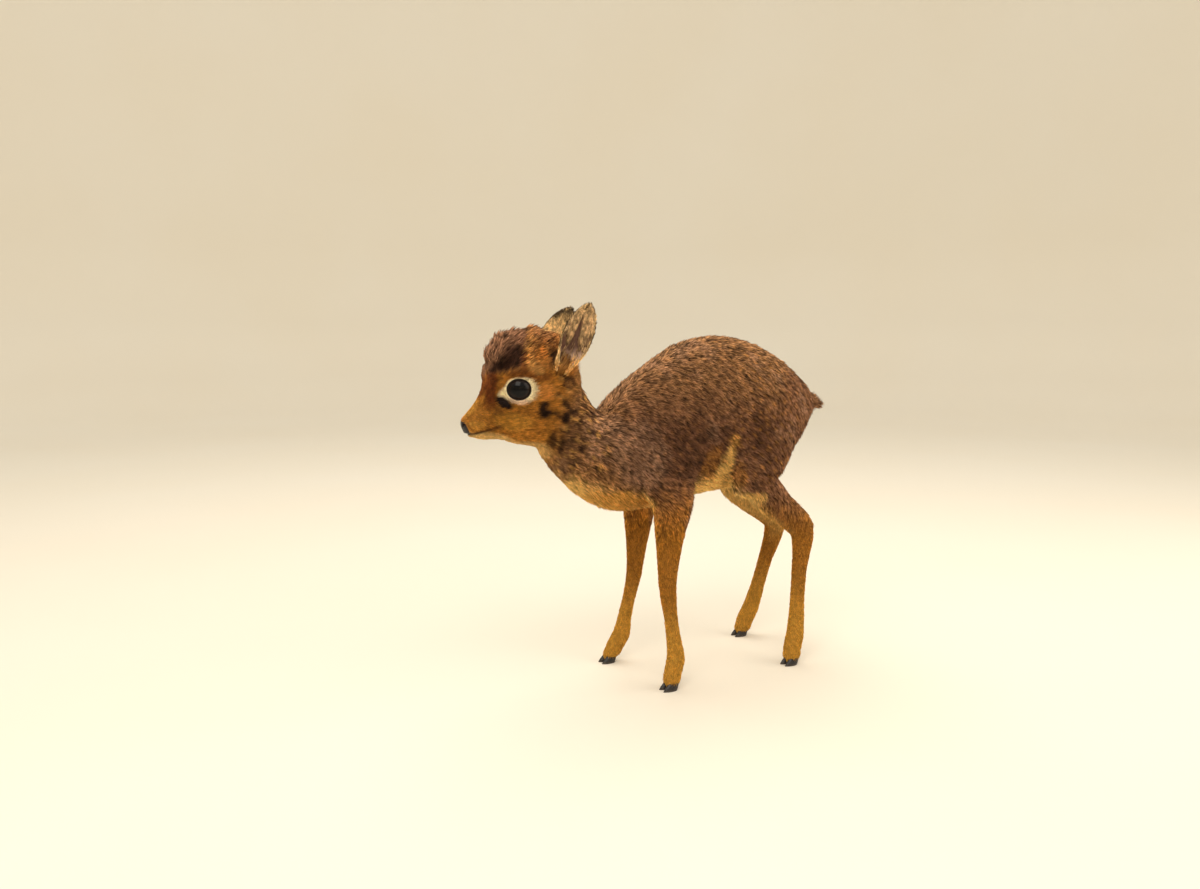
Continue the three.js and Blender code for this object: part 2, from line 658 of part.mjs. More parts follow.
function tailSolid() {
  const [from, to] = [TAIL.root, TAIL.tip].map((p) => new THREE.Vector3(...p));
  const way = to.clone().sub(from).normalize();
  const dock = limb(
    [
      { at: TAIL.root, across: TAIL.radius, deep: TAIL.radius },
      { at: from.clone().lerp(to, 0.5).toArray(), across: TAIL.radius * 0.9, deep: TAIL.radius * 0.85 },
      { at: TAIL.tip, across: TAIL.radius * 0.4, deep: TAIL.radius * 0.4 },
    ],
    2,
    12,
  );
  const random = seeded(11);
  const up = way.clone().cross(new THREE.Vector3(1, 0, 0));
  const locks = [];
  for (let ring = 0; ring < TAIL.rings; ring++)
    for (let k = 0; k < TAIL.perRing; k++) {
      const a = (2 * Math.PI * (k + 0.5 * (ring % 2))) / TAIL.perRing + 0.3 * random();
      const out = new THREE.Vector3(Math.cos(a), 0, 0).addScaledVector(up, Math.sin(a));
      const start = from.clone().lerp(to, 0.35 + (0.6 * ring) / TAIL.rings);
      start.addScaledVector(out, TAIL.radius * 0.45);
      const lie = way.clone().addScaledVector(out, 0.16 - 0.1 * ring).normalize();
      const flat = out.clone().addScaledVector(lie, -out.dot(lie)).normalize();
      const length = TAIL.length * (0.85 + 0.2 * random());
      locks.push(lock(start, lie, flat, length, TAIL.width, TAIL.thick, TAIL.bend));
    }
  return join([dock, ...locks]);
}

// The whole animal, parted by thin cuts.
function build() {
  const trunk = trunkSolid();
  const headForm = loft(headSections(0, CREST.core));
  const legs = {};
  for (const [kind, make] of [["foreleg", forelegSolid], ["hindleg", hindlegSolid]])
    for (const [sideName, side] of Object.entries(SIDES)) {
      const name = `${kind}_${sideName}`;
      legs[name] = { kind, side, foot: FEET[name], form: make(side, FEET[name]) };
    }
  const whole = join([trunk, headForm, ...Object.values(legs).map((leg) => leg.form)]);

  const [front, behind] = split(whole, HEAD_PLANE.normal, HEAD_PLANE.point);
  const [neck, body] = split(behind, NECK_PLANE.normal, NECK_PLANE.point);
  const { nose, face } = buildHead(front);
  const crest = crestLocks();
  addPart(headGroup, "head", face.add(crest), COLOURS.face);
  addPart(headGroup, "nose", nose, COLOURS.horn, 0.45);
  for (const [sideName, side] of Object.entries(SIDES)) {
    addPart(headGroup, `eye_${sideName}`, ball(EYE.radius, eyeCentre(side)), COLOURS.eye, 0.1);
    const room = loft(headSections(GAP, CREST.core));
    addPart(headGroup, `ear_${sideName}`, earSolid(side).subtract(room), COLOURS.ear);
  }
  const neckMesh = addPart(root, "neck", neck, COLOURS.coat);
  bendNeck(neckMesh.geometry);

  let torso = body;
  for (const leg of Object.values(legs)) torso = torso.subtract(region(legFaces(leg.kind, leg.side), GAP));
  const tail = tailSolid();
  addPart(root, "torso", torso, COLOURS.coat);
  const rumpRoom = loft(outlined(TRUNK, BODY_STEPS, BODY_SIDES, GAP));
  addPart(root, "tail", tail.subtract(rumpRoom), COLOURS.coat);

  for (const [name, leg] of Object.entries(legs)) {
    const hooves = claws(leg.side, leg.foot);
    let rest = body.intersect(region(legFaces(leg.kind, leg.side), 0));
    for (const cut of LEG_CUTS[leg.kind]) {
      const [upper, lower] = split(rest, cut.normal, cut.at(leg.foot));
      addPart(root, `${name}_${cut.name}`, upper, cut.name === "cannon" ? COLOURS.shank : COLOURS.coat);
      rest = lower;
    }
    addPart(root, `${name}_foot`, ahead(rest, [0, 0, 1], [0, 0, HOOF.height + GAP]), COLOURS.shank);
    addPart(root, `${name}_hoof_outer`, hooves[0], COLOURS.horn, 0.5);
    addPart(root, `${name}_hoof_inner`, hooves[1], COLOURS.horn, 0.5);
  }
}

build();

// Stand the model with the middle of its box over the origin.
root.updateMatrixWorld(true);
const box = new THREE.Box3().setFromObject(root, true);
root.position.set(-(box.min.x + box.max.x) / 2, -(box.min.y + box.max.y) / 2, -box.min.z);

export default root;
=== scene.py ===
"""Dresses the solids of a standing dik-dik calf: skin, lids, eyes, ears, hooves and a coat of tufts."""

import math

import bmesh
import bpy
import numpy as np
from bpy.props import FloatProperty, IntProperty, PointerProperty
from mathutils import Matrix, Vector
from mathutils.bvhtree import BVHTree


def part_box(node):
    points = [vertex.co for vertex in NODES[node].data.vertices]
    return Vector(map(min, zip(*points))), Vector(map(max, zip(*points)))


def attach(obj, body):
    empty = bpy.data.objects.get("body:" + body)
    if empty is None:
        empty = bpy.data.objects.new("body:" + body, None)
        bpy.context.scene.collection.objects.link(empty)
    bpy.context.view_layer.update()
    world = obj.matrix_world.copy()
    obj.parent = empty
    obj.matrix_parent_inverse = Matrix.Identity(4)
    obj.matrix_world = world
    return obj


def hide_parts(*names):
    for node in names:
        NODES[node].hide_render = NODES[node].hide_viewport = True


bl_info = {
    "name": "Dik-dik calf model",
    "version": (1, 0, 0),
    "blender": (4, 5, 0),
    "location": "View3D > Sidebar > Calf",
    "description": "Dresses the solids of a young dik-dik with skin, eyes, ears, hooves and a coat",
    "category": "Object",
}

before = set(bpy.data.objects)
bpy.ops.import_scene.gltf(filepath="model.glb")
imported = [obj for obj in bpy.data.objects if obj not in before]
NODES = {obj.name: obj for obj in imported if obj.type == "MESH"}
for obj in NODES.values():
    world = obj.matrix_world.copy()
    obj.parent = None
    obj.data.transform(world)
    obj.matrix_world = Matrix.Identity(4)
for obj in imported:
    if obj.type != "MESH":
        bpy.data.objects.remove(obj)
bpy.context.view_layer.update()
MM = 0.001

LEGS = ["foreleg_left", "foreleg_right", "hindleg_left", "hindleg_right"]
LEG_PARTS = {"foreleg": ["upper", "cannon", "foot"], "hindleg": ["thigh", "gaskin", "cannon", "foot"]}
FLESH = ["head", "nose", "neck", "torso", "tail"] + [
    f"{leg}_{part}" for leg in LEGS for part in LEG_PARTS[leg.split("_")[0]]
]
HOOVES = [f"{leg}_hoof_{place}" for leg in LEGS for place in ("outer", "inner")]
SIDES = {"left": 1, "right": -1}


# Landmarks read from the frame.
def middle(node):
    """Middle of a node's box, in metres."""
    low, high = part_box(node)
    return (np.array(low) + np.array(high)) / 2


EYE_CENTRE = {name: middle(f"eye_{name}") for name in SIDES}
EYE_RADIUS = float(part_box("eye_left")[1][2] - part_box("eye_left")[0][2]) / 2
HEAD_CENTRE = (EYE_CENTRE["left"] + EYE_CENTRE["right"]) / 2
EYE_SPAN = EYE_CENTRE["left"] - EYE_CENTRE["right"]
HEAD_SIDE = EYE_SPAN / np.linalg.norm(EYE_SPAN)
HEAD_AHEAD = np.cross(HEAD_SIDE, (0, 0, 1))
HEAD_AXES = np.array([HEAD_SIDE, HEAD_AHEAD, (0, 0, 1)])


def ear_line(name):
    """Foot and tip of an ear, in metres."""
    places = np.array([v.co for v in NODES[f"ear_{name}"].data.vertices])
    low, high = places[:, 2].min(), places[:, 2].max()
    foot = places[places[:, 2] < low + 0.2 * (high - low)].mean(0)
    tip = places[places[:, 2] > high - 0.1 * (high - low)].mean(0)
    return foot, tip


EAR_LINES = {name: ear_line(name) for name in SIDES}

# The left fore hoof stands this far ahead of the body's own origin.
FORE_HOOF_AHEAD = 61.35 * MM
BODY_ORIGIN = np.array([0, middle("foreleg_left_hoof_outer")[1] + FORE_HOOF_AHEAD, 0])

# Camera: its place from the body's origin, lens and sensor in millimetres, tilt and turn in degrees, and
# the nearest that it sees in metres.
CAMERA_PLACE = (654.3, -474.2, 286.4)
CAMERA_TILT = 83.246
CAMERA_TURN = 60.388
CAMERA_LENS = 28.5
CAMERA_SENSOR = 36
CAMERA_NEAR = 0.01

# Colours in sRGB, 0 to 255.
COLOURS = {
    "back": (136, 100, 68),
    "saddle": (140, 108, 86),
    "side": (116, 82, 60),
    "dark": (76, 50, 36),
    "belly": (210, 158, 80),
    "cream": (228, 188, 112),
    "leg": (180, 122, 44),
    "foot": (216, 164, 68),
    "neck": (146, 106, 68),
    "face": (180, 122, 50),
    "temple": (222, 154, 74),
    "cheek": (206, 152, 66),
    "chin": (222, 184, 118),
    "bridge": (110, 56, 26),
    "crest": (124, 90, 68),
    "crest_dark": (48, 28, 20),
    "crown": (152, 106, 58),
    "band": (206, 156, 88),
    "ring": (248, 232, 190),
    "lower_lid": (222, 184, 160),
    "gland": (34, 20, 16),
    "blotch": (40, 24, 18),
    "mouth": (60, 34, 20),
    "tail": (112, 80, 54),
    "ear_back": (218, 180, 122),
    "ear_edge": (34, 21, 15),
    "ear_skin": (94, 64, 50),
    "ear_base": (226, 190, 166),
    "ear_hair": (184, 154, 116),
    "nose": (16, 12, 12),
    "nose_light": (38, 29, 27),
    "eye": (4, 3, 4),
    "iris": (24, 14, 10),
    "rim": (20, 13, 12),
    "rim_light": (48, 34, 30),
    "hoof": (28, 24, 23),
    "hoof_light": (92, 80, 70),
    "whisker": (40, 30, 24),
    "whisker_light": (74, 56, 44),
    "floor": (236, 228, 212),
    "floor_light": (238, 233, 222),
    "daylight": (246, 240, 228),
    "lamp": (255, 246, 232),
}

# Skin: its cells, the growth that joins the nodes, and how deep it starts inside the hooves, in millimetres.
FIRST_CELL = 1.8
SKIN_CELL = 1.55
GROWTH = 0.28
EYE_GROWTH = 0.6
HOOF_PLUG = 0.9
FEWEST_FACES = 1000

# Worn edges of the hooves, in millimetres and degrees.
HOOF_WEAR = 0.35
HOOF_EDGE_ANGLE = 30

# Rounds of smoothing on the skin, and the reach of the two rounds of finer cells about its details.
ROUNDS = {"all": 14, "crown": 10, "trunk": 26}
FINE_REACH = (13, 8)

# Core under the locks of the crest, in millimetres in the head's axes: its middle, how much skin about
# each lock is compared and at what distance from the middle, and how far the skin may be from there.
CREST_PIVOT = np.array([0, -9.0, -2.0])
CREST_REACH = 7
CREST_RADIUS = 45
CREST_FARTHEST = 80

# The core lies at this percentile of the compared skin.
CREST_CORE = 22

# How deep the skin lies under the coat, in millimetres.
COAT_DEPTH = {"trunk": 2.3, "face": 0.55, "leg": 0.6, "tail": 2.6, "locks": 1.7}

# Length of the hair in millimetres, how much more or less it has in places, and how steeply it stands.
HAIR_LENGTH = {"trunk": 7.2, "leg": 2.9, "face": 4.6, "crest": 7.6, "ear_root": 9, "tail": 5.8}
BELLY_MORE = 1.0
RUMP_MORE = 4.5
MUZZLE_LESS = 2.9
HAIR_STAND = {"trunk": 0.33, "crest": 0.34}

# The hair shows its colour at this share of its length.
SHOWN_AT = 0.7

# Eyes: gaze in degrees from straight ahead, opening in the lids seen along it, lids and pale ring.
GAZE = 78
OPENING_HALF = 9.1
OPENING_HEIGHT = 8.0
LID_EDGE = 0.3
LID_THICKNESS = 1.35
LID_SLOPE = 3.2
LID_FADE = 3
LID_REACH = 6
PIT_STEEPNESS = 4
PIT_DEPTH = 1.6
EYE_REGION = 30
RING_WIDTH = {"above": 1.2, "ahead": 4.3, "behind": 5.0, "below": 1.8}

# Mouth line from its corner to the front, as places ahead and up from the middle of the eyes.
MOUTH_LINE = [(15.5, -27.6), (17.1, -28.4), (22.5, -30.6), (27.6, -32.0), (34, -33.4), (41, -34.6)]
MOUTH_HALF = 0.75
MOUTH_DEPTH = 1.1
LIP_SWELL = 0.35

# Nose pad and nostrils, in millimetres from the middle of the eyes, their leans in degrees.
NOSE_FACE = (38.9, -26.0)
NOSE_LEAN = 24
NOSE_TOP = -23.5
PAD_PROUD = 0.22
PAD_EDGE = 0.02
PAD_THICKNESS = 1.2
NOSTRIL = (3.9, 41.2, -27.2)
NOSTRIL_HALF = (1.25, 2.3)
NOSTRIL_TILT = 38
NOSTRIL_DEPTH = 2.4
NOSTRIL_RIM = 0.5
NOSE_GROOVE = 0.6

# Root of the tail, in millimetres from the body's origin.
TAIL_ROOT = (0, 112, 225)

# Glands before the eyes: place ahead and up, half sizes, slope and depth.
GLAND = (13.0, -10.2)
GLAND_HALF = (6.6, 5.0)
GLAND_SLOPE = 0.45
GLAND_DEPTH = 0.9


def linear(rgb):
    """Linear colour from sRGB numbers of 0 to 255."""
    c = np.asarray(rgb, float) / 255
    return np.where(c <= 0.04045, c / 12.92, ((c + 0.055) / 1.055) ** 2.4)


TINT = {name: linear(rgb) for name, rgb in COLOURS.items()}


def paint(name):
    """Named colour as a linear RGBA tuple."""
    return (*TINT[name], 1.0)


def mix(colour, name, share):
    """Colours drawn towards a named one by a share."""
    return colour + (TINT[name] - colour) * np.clip(share, 0, 1)[:, None]


def smooth(value, low=0.0, high=1.0):
    """Smooth step from 0 at low to 1 at high."""
    t = np.clip((np.asarray(value, float) - low) / (high - low), 0, 1)
    return t * t * (3 - 2 * t)


def under(value, high, low):
    """Smooth step the other way, from 0 at high to 1 at low."""
    return smooth(-value, -high, -low)


def blend(first, second, share):
    """First where the share is 0, second where it is 1."""
    return first * (1 - share) + second * share


def unit(vectors):
    """Vectors of length one."""
    size = np.linalg.norm(vectors, axis=-1, keepdims=True)
    return vectors / np.maximum(size, 1e-12)


def laid(ways, normals):
    """Ways laid flat on the skin, without their part along its normals."""
    return ways - normals * np.sum(ways * normals, 1, keepdims=True)


def head_places(places):
    """Places in the head's own axes (side, ahead, up), in millimetres from the middle of the eyes."""
    return (places - HEAD_CENTRE) @ HEAD_AXES.T / MM


def from_head(place):
    """World place of one given in the head's own axes, in millimetres."""
    return HEAD_CENTRE + np.asarray(place, float) * MM @ HEAD_AXES


def body_places(places):
    """Places from the body's own origin, in millimetres."""
    return (places - BODY_ORIGIN) / MM


# Meshes as arrays.
def read(values, name, width, kind=np.float64):
    """One property of a collection of mesh elements as an array."""
    out = np.empty(len(values) * width, kind)
    values.foreach_get(name, out)
    return out.reshape(-1, width) if width > 1 else out


def places_of(mesh):
    """Places of the vertices."""
    return read(mesh.vertices, "co", 3)


def normals_of(mesh):
    """Normals of the vertices."""
    return read(mesh.vertices, "normal", 3)


def move_to(mesh, places):
    """Gives the vertices new places."""
    mesh.vertices.foreach_set("co", places.ravel())
    mesh.update()


def edges_of(mesh):
    """Vertex numbers of the edges."""
    return read(mesh.edges, "vertices", 2, np.int32)


def relaxed(places, edges, rounds, weight=1.0, shrink=0.0):
    """Places smoothed along the edges. With no shrink each round swells back what it drew in."""
    count = len(places)
    valence = np.maximum(np.bincount(edges.ravel(), minlength=count), 1)[:, None]
    ends = np.concatenate([edges[:, 0], edges[:, 1]])
    others = np.concatenate([edges[:, 1], edges[:, 0]])
    weight = np.broadcast_to(weight, (count,))[:, None]
    back = -0.53 * (1 - shrink)
    for _ in range(rounds):
        for step in (0.5, back):
            if step:
                sums = [np.bincount(ends, places[others, k], count) for k in range(3)]
                places = places + step * weight * (np.stack(sums, 1) / valence - places)
    return places


def spread(values, edges, rounds):
    """One number per vertex, blurred along the edges."""
    return relaxed(np.repeat(values[:, None], 3, 1), edges, rounds, shrink=1.0)[:, 0]


# Kinds of attribute by the width of their values, with the property that holds them.
FIELD_KINDS = {1: ("FLOAT", "value"), 3: ("FLOAT_VECTOR", "vector"), 4: ("FLOAT_COLOR", "color")}


def set_attribute(mesh, name, values, domain="POINT"):
    """Stores an array of numbers, vectors or colours as a named attribute."""
    values = np.ascontiguousarray(values, np.float32)
    kind, field = FIELD_KINDS[values.shape[1] if values.ndim > 1 else 1]
    mesh.attributes.new(name, kind, domain)
    mesh.attributes[name].data.foreach_set(field, values.ravel())


def get_attribute(mesh, name):
    """Reads a named attribute as an array."""
    layer = mesh.attributes[name]
    width, field = next((w, f) for w, (kind, f) in FIELD_KINDS.items() if kind == layer.data_type)
    return read(layer.data, field, width, np.float32).astype(float)


def opaque(colours):
    """Colours with a last column of ones."""
    return np.column_stack([colours, np.ones(len(colours))])


def new_object(name, data):
    """Object in the scene for a mesh, a light or a camera."""
    made = bpy.data.objects.new(name, data)
    bpy.context.scene.collection.objects.link(made)
    return made


def finished(made, slot, *nodes):
    """Attaches a piece to the root body and hides the nodes that it stands in for. The slot is not used."""
    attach(made, "root")
    if nodes:
        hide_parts(*nodes)
    return made


def piece(name, mesh, material, slot, *nodes):
    """New piece of the model from a mesh and its material."""
    mesh.materials.append(material)
    return finished(new_object(name, mesh), slot, *nodes)


def shade_smooth(mesh):
    """Rounds the shading of every face."""
    mesh.polygons.foreach_set("use_smooth", np.ones(len(mesh.polygons), bool))


def mesh_from(name, places, faces):
    """Mesh of places and faces, with its normals outward."""
    mesh = bpy.data.meshes.new(name)
    mesh.from_pydata([tuple(p) for p in places], [], [tuple(f) for f in faces])
    work = bmesh.new()
    work.from_mesh(mesh)
    bmesh.ops.recalc_face_normals(work, faces=work.faces)
    work.to_mesh(mesh)
    work.free()
    shade_smooth(mesh)
    return mesh


def mesh_of(work, name):
    """Turns a bmesh into a mesh."""
    mesh = bpy.data.meshes.new(name)
    work.to_mesh(mesh)
    work.free()
    return mesh


def merged_node(work, node, growth):
    """Adds a node's triangles to a bmesh, merged and moved out along their normals."""
    part = bmesh.new()
    part.from_mesh(NODES[node].data)
    bmesh.ops.remove_doubles(part, verts=part.verts, dist=0.01 * MM)
    part.normal_update()
    for vert, normal in [(v, v.normal.copy()) for v in part.verts]:
        vert.co += normal * growth * MM
    held = mesh_of(part, "held")
    work.from_mesh(held)
    bpy.data.meshes.remove(held)


def remeshed(name, mesh, cell):
    """Voxel remesh of a mesh, as a new mesh."""
    made = new_object(name, mesh)
    voxels = made.modifiers.new("voxels", "REMESH")
    voxels.mode = "VOXEL"
    voxels.voxel_size = cell * MM
    graph = bpy.context.evaluated_depsgraph_get()
    result = bpy.data.meshes.new_from_object(made.evaluated_get(graph), depsgraph=graph)
    bpy.data.objects.remove(made)
    bpy.data.meshes.remove(mesh)
    result.name = name
    return result


def refined(mesh, wanted):
    """Divides once the faces that have a wanted corner."""
    work = bmesh.new()
    work.from_mesh(mesh)
    work.verts.ensure_lookup_table()
    faces = [f for f in work.faces if any(wanted[v.index] for v in f.verts)]
    edges = list({e for f in faces for e in f.edges})
    bmesh.ops.subdivide_edges(work, edges=edges, cuts=1, use_grid_fill=True)
    bmesh.ops.triangulate(work, faces=[f for f in work.faces if len(f.verts) > 4])
    work.to_mesh(mesh)
    work.free()


# Forms of the head, worked out on arrays.
def eye_frame(name):
    """Middle of an eye and its axes: out along the gaze, ahead across it, and up."""
    turn = math.radians(GAZE)
    out = math.cos(turn) * HEAD_AHEAD + math.sin(turn) * SIDES[name] * HEAD_SIDE
    up = np.array([0, 0, 1.0])
    across = np.cross(up, out) * -SIDES[name]
    return EYE_CENTRE[name], np.array([out, across, up])


def eye_places(places, name):
    """Places seen from one eye, in millimetres: along the gaze, ahead and up."""
    centre, axes = eye_frame(name)
    return (places - centre) @ axes.T / MM


def outside_opening(seen):
    """How far in millimetres a place is outside the opening of the lids, or negative inside."""
    share = np.sqrt((seen[:, 1] / OPENING_HALF) ** 2 + (seen[:, 2] / OPENING_HEIGHT) ** 2)
    return (share - 1) * (OPENING_HALF + OPENING_HEIGHT) / 2


def near_eye(seen):
    """Which places lie about an eye, on its open side."""
    return (seen[:, 0] > 0) & (np.linalg.norm(seen, axis=1) < EYE_REGION)


def lid_share(places):
    """Distance outside the nearer opening, large away from the eyes."""
    best = np.full(len(places), 99.0)
    for name in SIDES:
        seen = eye_places(places, name)
        best = np.where(near_eye(seen), np.minimum(best, outside_opening(seen)), best)
    return best


def ring_share(places, wobble):
    """Share of the pale ring about each eye, wide before and behind it, and of its lower part."""
    ring, low = np.zeros(len(places)), np.zeros(len(places))
    for name in SIDES:
        seen = eye_places(places, name)
        ways = unit(seen[:, 1:])
        width = np.full(len(places), RING_WIDTH["above"])
        width += RING_WIDTH["ahead"] * np.maximum(ways @ (0.95, -0.31), 0) ** 12
        width += RING_WIDTH["behind"] * np.maximum(-ways[:, 0], 0) ** 2
        width += RING_WIDTH["below"] * np.maximum(-ways[:, 1], 0) ** 2
        gap = outside_opening(seen) + wobble
        here = near_eye(seen) * (1 - smooth(gap - width, -0.7, 0.7))
        ring = np.maximum(ring, here)
        low = np.maximum(low, here * smooth(-ways[:, 1], 0.6, 0.9))
    return ring, low


def shape_lids(places):
    """Draws the skin over each eye as lids, and hides what lies in the opening behind the eye."""
    radius = EYE_RADIUS / MM
    for name in SIDES:
        centre, axes = eye_frame(name)
        seen = eye_places(places, name)
        reach = np.linalg.norm(seen, axis=1)
        gap = outside_opening(seen)
        lid = radius + LID_EDGE + LID_THICKNESS * smooth(gap, 0, LID_SLOPE)
        behind = radius + LID_EDGE + PIT_STEEPNESS * np.minimum(gap, 0)
        near = (seen[:, 0] > 0) & (reach < radius + LID_REACH)
        hold = 1 - smooth(gap, LID_SLOPE, LID_SLOPE + LID_FADE)
        edge = near & (gap > 0)
        wanted = np.where(edge, np.maximum(blend(reach, lid, hold), lid), reach)
        wanted = np.where(near & (gap <= 0), np.maximum(behind, radius - PIT_DEPTH), wanted)
        moved = seen * (wanted / np.maximum(reach, 1e-9))[:, None]
        places = np.where(near[:, None], centre + moved * MM @ axes, places)
    return places


def mouth_distance(head):
    """Distance in millimetres from the mouth line, seen from the side."""
    best = np.full(len(head), 99.0)
    for (a0, u0), (a1, u1) in zip(MOUTH_LINE, MOUTH_LINE[1:]):
        step = np.array([a1 - a0, u1 - u0])
        t = np.clip(((head[:, 1:] - (a0, u0)) @ step) / (step @ step), 0, 1)
        away = head[:, 1:] - (a0, u0) - t[:, None] * step
        best = np.minimum(best, np.hypot(away[:, 0], away[:, 1]))
    return best


def nostril_share(head):
    """1 in the middle of a nostril and 0 past its edge."""
    side = np.abs(head[:, 0]) - NOSTRIL[0]
    up = head[:, 2] - NOSTRIL[2]
    turn = math.radians(NOSTRIL_TILT)
    wide = side * math.cos(turn) - up * math.sin(turn)
    long = side * math.sin(turn) + up * math.cos(turn)
    away = np.hypot(wide / NOSTRIL_HALF[0], long / NOSTRIL_HALF[1])
    return (1 - smooth(away, 0.45, 1.1)) * (head[:, 1] > NOSTRIL[1] - 7)


def nose_share(head):
    """1 on the bare nose pad, 0 on the haired muzzle."""
    lean = math.radians(NOSE_LEAN)
    front = (head[:, 1] - NOSE_FACE[0]) * math.cos(lean) - (head[:, 2] - NOSE_FACE[1]) * math.sin(lean)
    pad = smooth(front, -0.5, 0.5) * smooth(head[:, 2], -35.5, -34)
    return pad * (1 - smooth(head[:, 2], NOSE_TOP - 2, NOSE_TOP))


def gland_share(head):
    """1 in the middle of the gland before each eye and 0 past its edge."""
    ahead = head[:, 1] - GLAND[0]
    up = head[:, 2] - GLAND[1] - GLAND_SLOPE * ahead
    away = np.hypot(ahead / GLAND_HALF[0], up / GLAND_HALF[1])
    return (1 - smooth(away, 0.7, 1.05)) * (np.abs(head[:, 0]) > 8)


def lock_share(head):
    """1 where the solid head carries the locks of the crest, 0 away from them."""
    low = 13 + 0.35 * np.abs(head[:, 1] - 6)
    body = smooth(head[:, 2], low - 3, low + 3)
    front = 1 - smooth(head[:, 1], 21, 25)
    back = smooth(head[:, 1], -36, -26)
    width = 1 - smooth(np.abs(head[:, 0]), 20, 24)
    return body * front * back * width


def crest_front(head):
    """1 on the front of the crest over the forehead, 0 behind it."""
    return smooth(head[:, 1], 5, 15)


def crest_share(head):
    """1 on the dark crest, whose lower edge climbs towards the crown, 0 away from it."""
    ahead = head[:, 1]
    behind = np.maximum(1 - ahead, 0)
    edge = 13 + 0.28 * np.clip(11.7 - ahead, 0, 10.7) + 1.2 * behind + 0.1 * behind**2
    peak = 4.5 * np.exp(-((head[:, 0] / 7) ** 2)) * smooth(ahead, 14, 22)
    return smooth(head[:, 2] - edge + peak, -2.5, 3.5) * (1 - smooth(ahead, 27, 33))


def tail_share(body, start, full, low=208):
    """1 on the tail past full, 0 ahead of start and below low."""
    return smooth(body[:, 1], start, full) * (body[:, 2] > low)


def tail_root_share(body):
    """1 on the rump around the root of the tail and 0 away from it."""
    return 1 - smooth(np.linalg.norm(body - TAIL_ROOT, axis=1), 5, 17)


def ear_root_share(places):
    """1 around the foot of each ear and 0 away from it."""
    best = np.full(len(places), 99.0)
    for root, _ in EAR_LINES.values():
        best = np.minimum(best, np.linalg.norm(places - root, axis=1) / MM)
    return 1 - smooth(best, 7, 13)


# The skin.
def core_of_crest(mesh):
    """Draws the locks of the crest down to the core under them."""
    head = head_places(places_of(mesh))
    share = lock_share(head)
    ways = head - CREST_PIVOT
    reach = np.linalg.norm(ways, axis=1)
    ways = unit(ways)
    wanted = np.where((share > 0.02) & (head[:, 2] > 5))[0]
    near = np.where((reach < CREST_FARTHEST) & (head[:, 2] > 0))[0]
    settled = reach.copy()
    for start in range(0, len(wanted), 400):
        some = wanted[start : start + 400]
        around = ways[some] @ ways[near].T > math.cos(CREST_REACH / CREST_RADIUS)
        settled[some] = [np.percentile(reach[near[row]], CREST_CORE) for row in around]
    draw = smooth(share, 0, 0.4) * (1 - 0.55 * crest_front(head))
    reach = reach + (np.minimum(settled, reach) - reach) * draw
    move_to(mesh, HEAD_CENTRE + (CREST_PIVOT + ways * reach[:, None]) * MM @ HEAD_AXES)


def coat_depth(places):
    """How deep the skin lies under the outline, in millimetres."""
    head, body = head_places(places), body_places(places)
    depth = blend(COAT_DEPTH["trunk"], COAT_DEPTH["face"], smooth(head[:, 1], -62, -44))
    depth = blend(depth, COAT_DEPTH["leg"], under(body[:, 2], 150, 105))
    depth = blend(depth, COAT_DEPTH["tail"], smooth(body[:, 1], 112, 117))
    depth = depth + COAT_DEPTH["locks"] * lock_share(head) * (1 - 0.9 * crest_front(head))
    return depth * smooth(body[:, 2], 6.5, 14)


def make_skin(cell):
    """One closed skin over all the flesh, with lids, lips, nostrils and glands."""
    work = bmesh.new()
    for node in FLESH:
        merged_node(work, node, GROWTH)
    for name in SIDES:
        merged_node(work, f"eye_{name}", EYE_GROWTH)
    for node in HOOVES:
        merged_node(work, node, -HOOF_PLUG)
    mesh = remeshed("skin", mesh_of(work, "skin"), FIRST_CELL)
    core_of_crest(mesh)
    mesh = remeshed("skin", mesh, cell)
    draw_under_coat(mesh)
    for reach in FINE_REACH:
        refine_details(mesh, reach)
    shape_details(mesh)
    shade_smooth(mesh)
    return mesh


def draw_under_coat(mesh):
    """Evens out the skin and draws it in by the depth of the coat."""
    places, edges = places_of(mesh), edges_of(mesh)
    head, body = head_places(places), body_places(places)
    on_head = smooth(head[:, 1], -58, -44)
    crown = on_head * smooth(head[:, 2], 8, 16) * smooth(head[:, 1], 24, 16)
    trunk = (1 - on_head) * smooth(body[:, 2], 120, 150)
    places = relaxed(places, edges, ROUNDS["all"], 0.55 + 0.45 * (1 - on_head))
    places = relaxed(places, edges, ROUNDS["crown"], np.clip(spread(crown, edges, 4), 0, 1))
    places = relaxed(places, edges, ROUNDS["trunk"], trunk)
    move_to(mesh, places)
    depth = spread(coat_depth(places), edges, 6)
    move_to(mesh, places - normals_of(mesh) * depth[:, None] * MM)


def refine_details(mesh, reach):
    """Divides the skin about the lids, the muzzle, the nose pad and the glands."""
    places = places_of(mesh)
    head = head_places(places)
    lids = np.abs(lid_share(places)) < reach * 0.4
    muzzle = (head[:, 1] > 12) & (mouth_distance(head) < reach * 0.5)
    pad = head[:, 1] > 33
    refined(mesh, lids | muzzle | pad | (gland_share(head) > 0))
    places = places_of(mesh)
    close = smooth(head_places(places)[:, 1], -30, -10)
    move_to(mesh, relaxed(places, edges_of(mesh), 5, close))


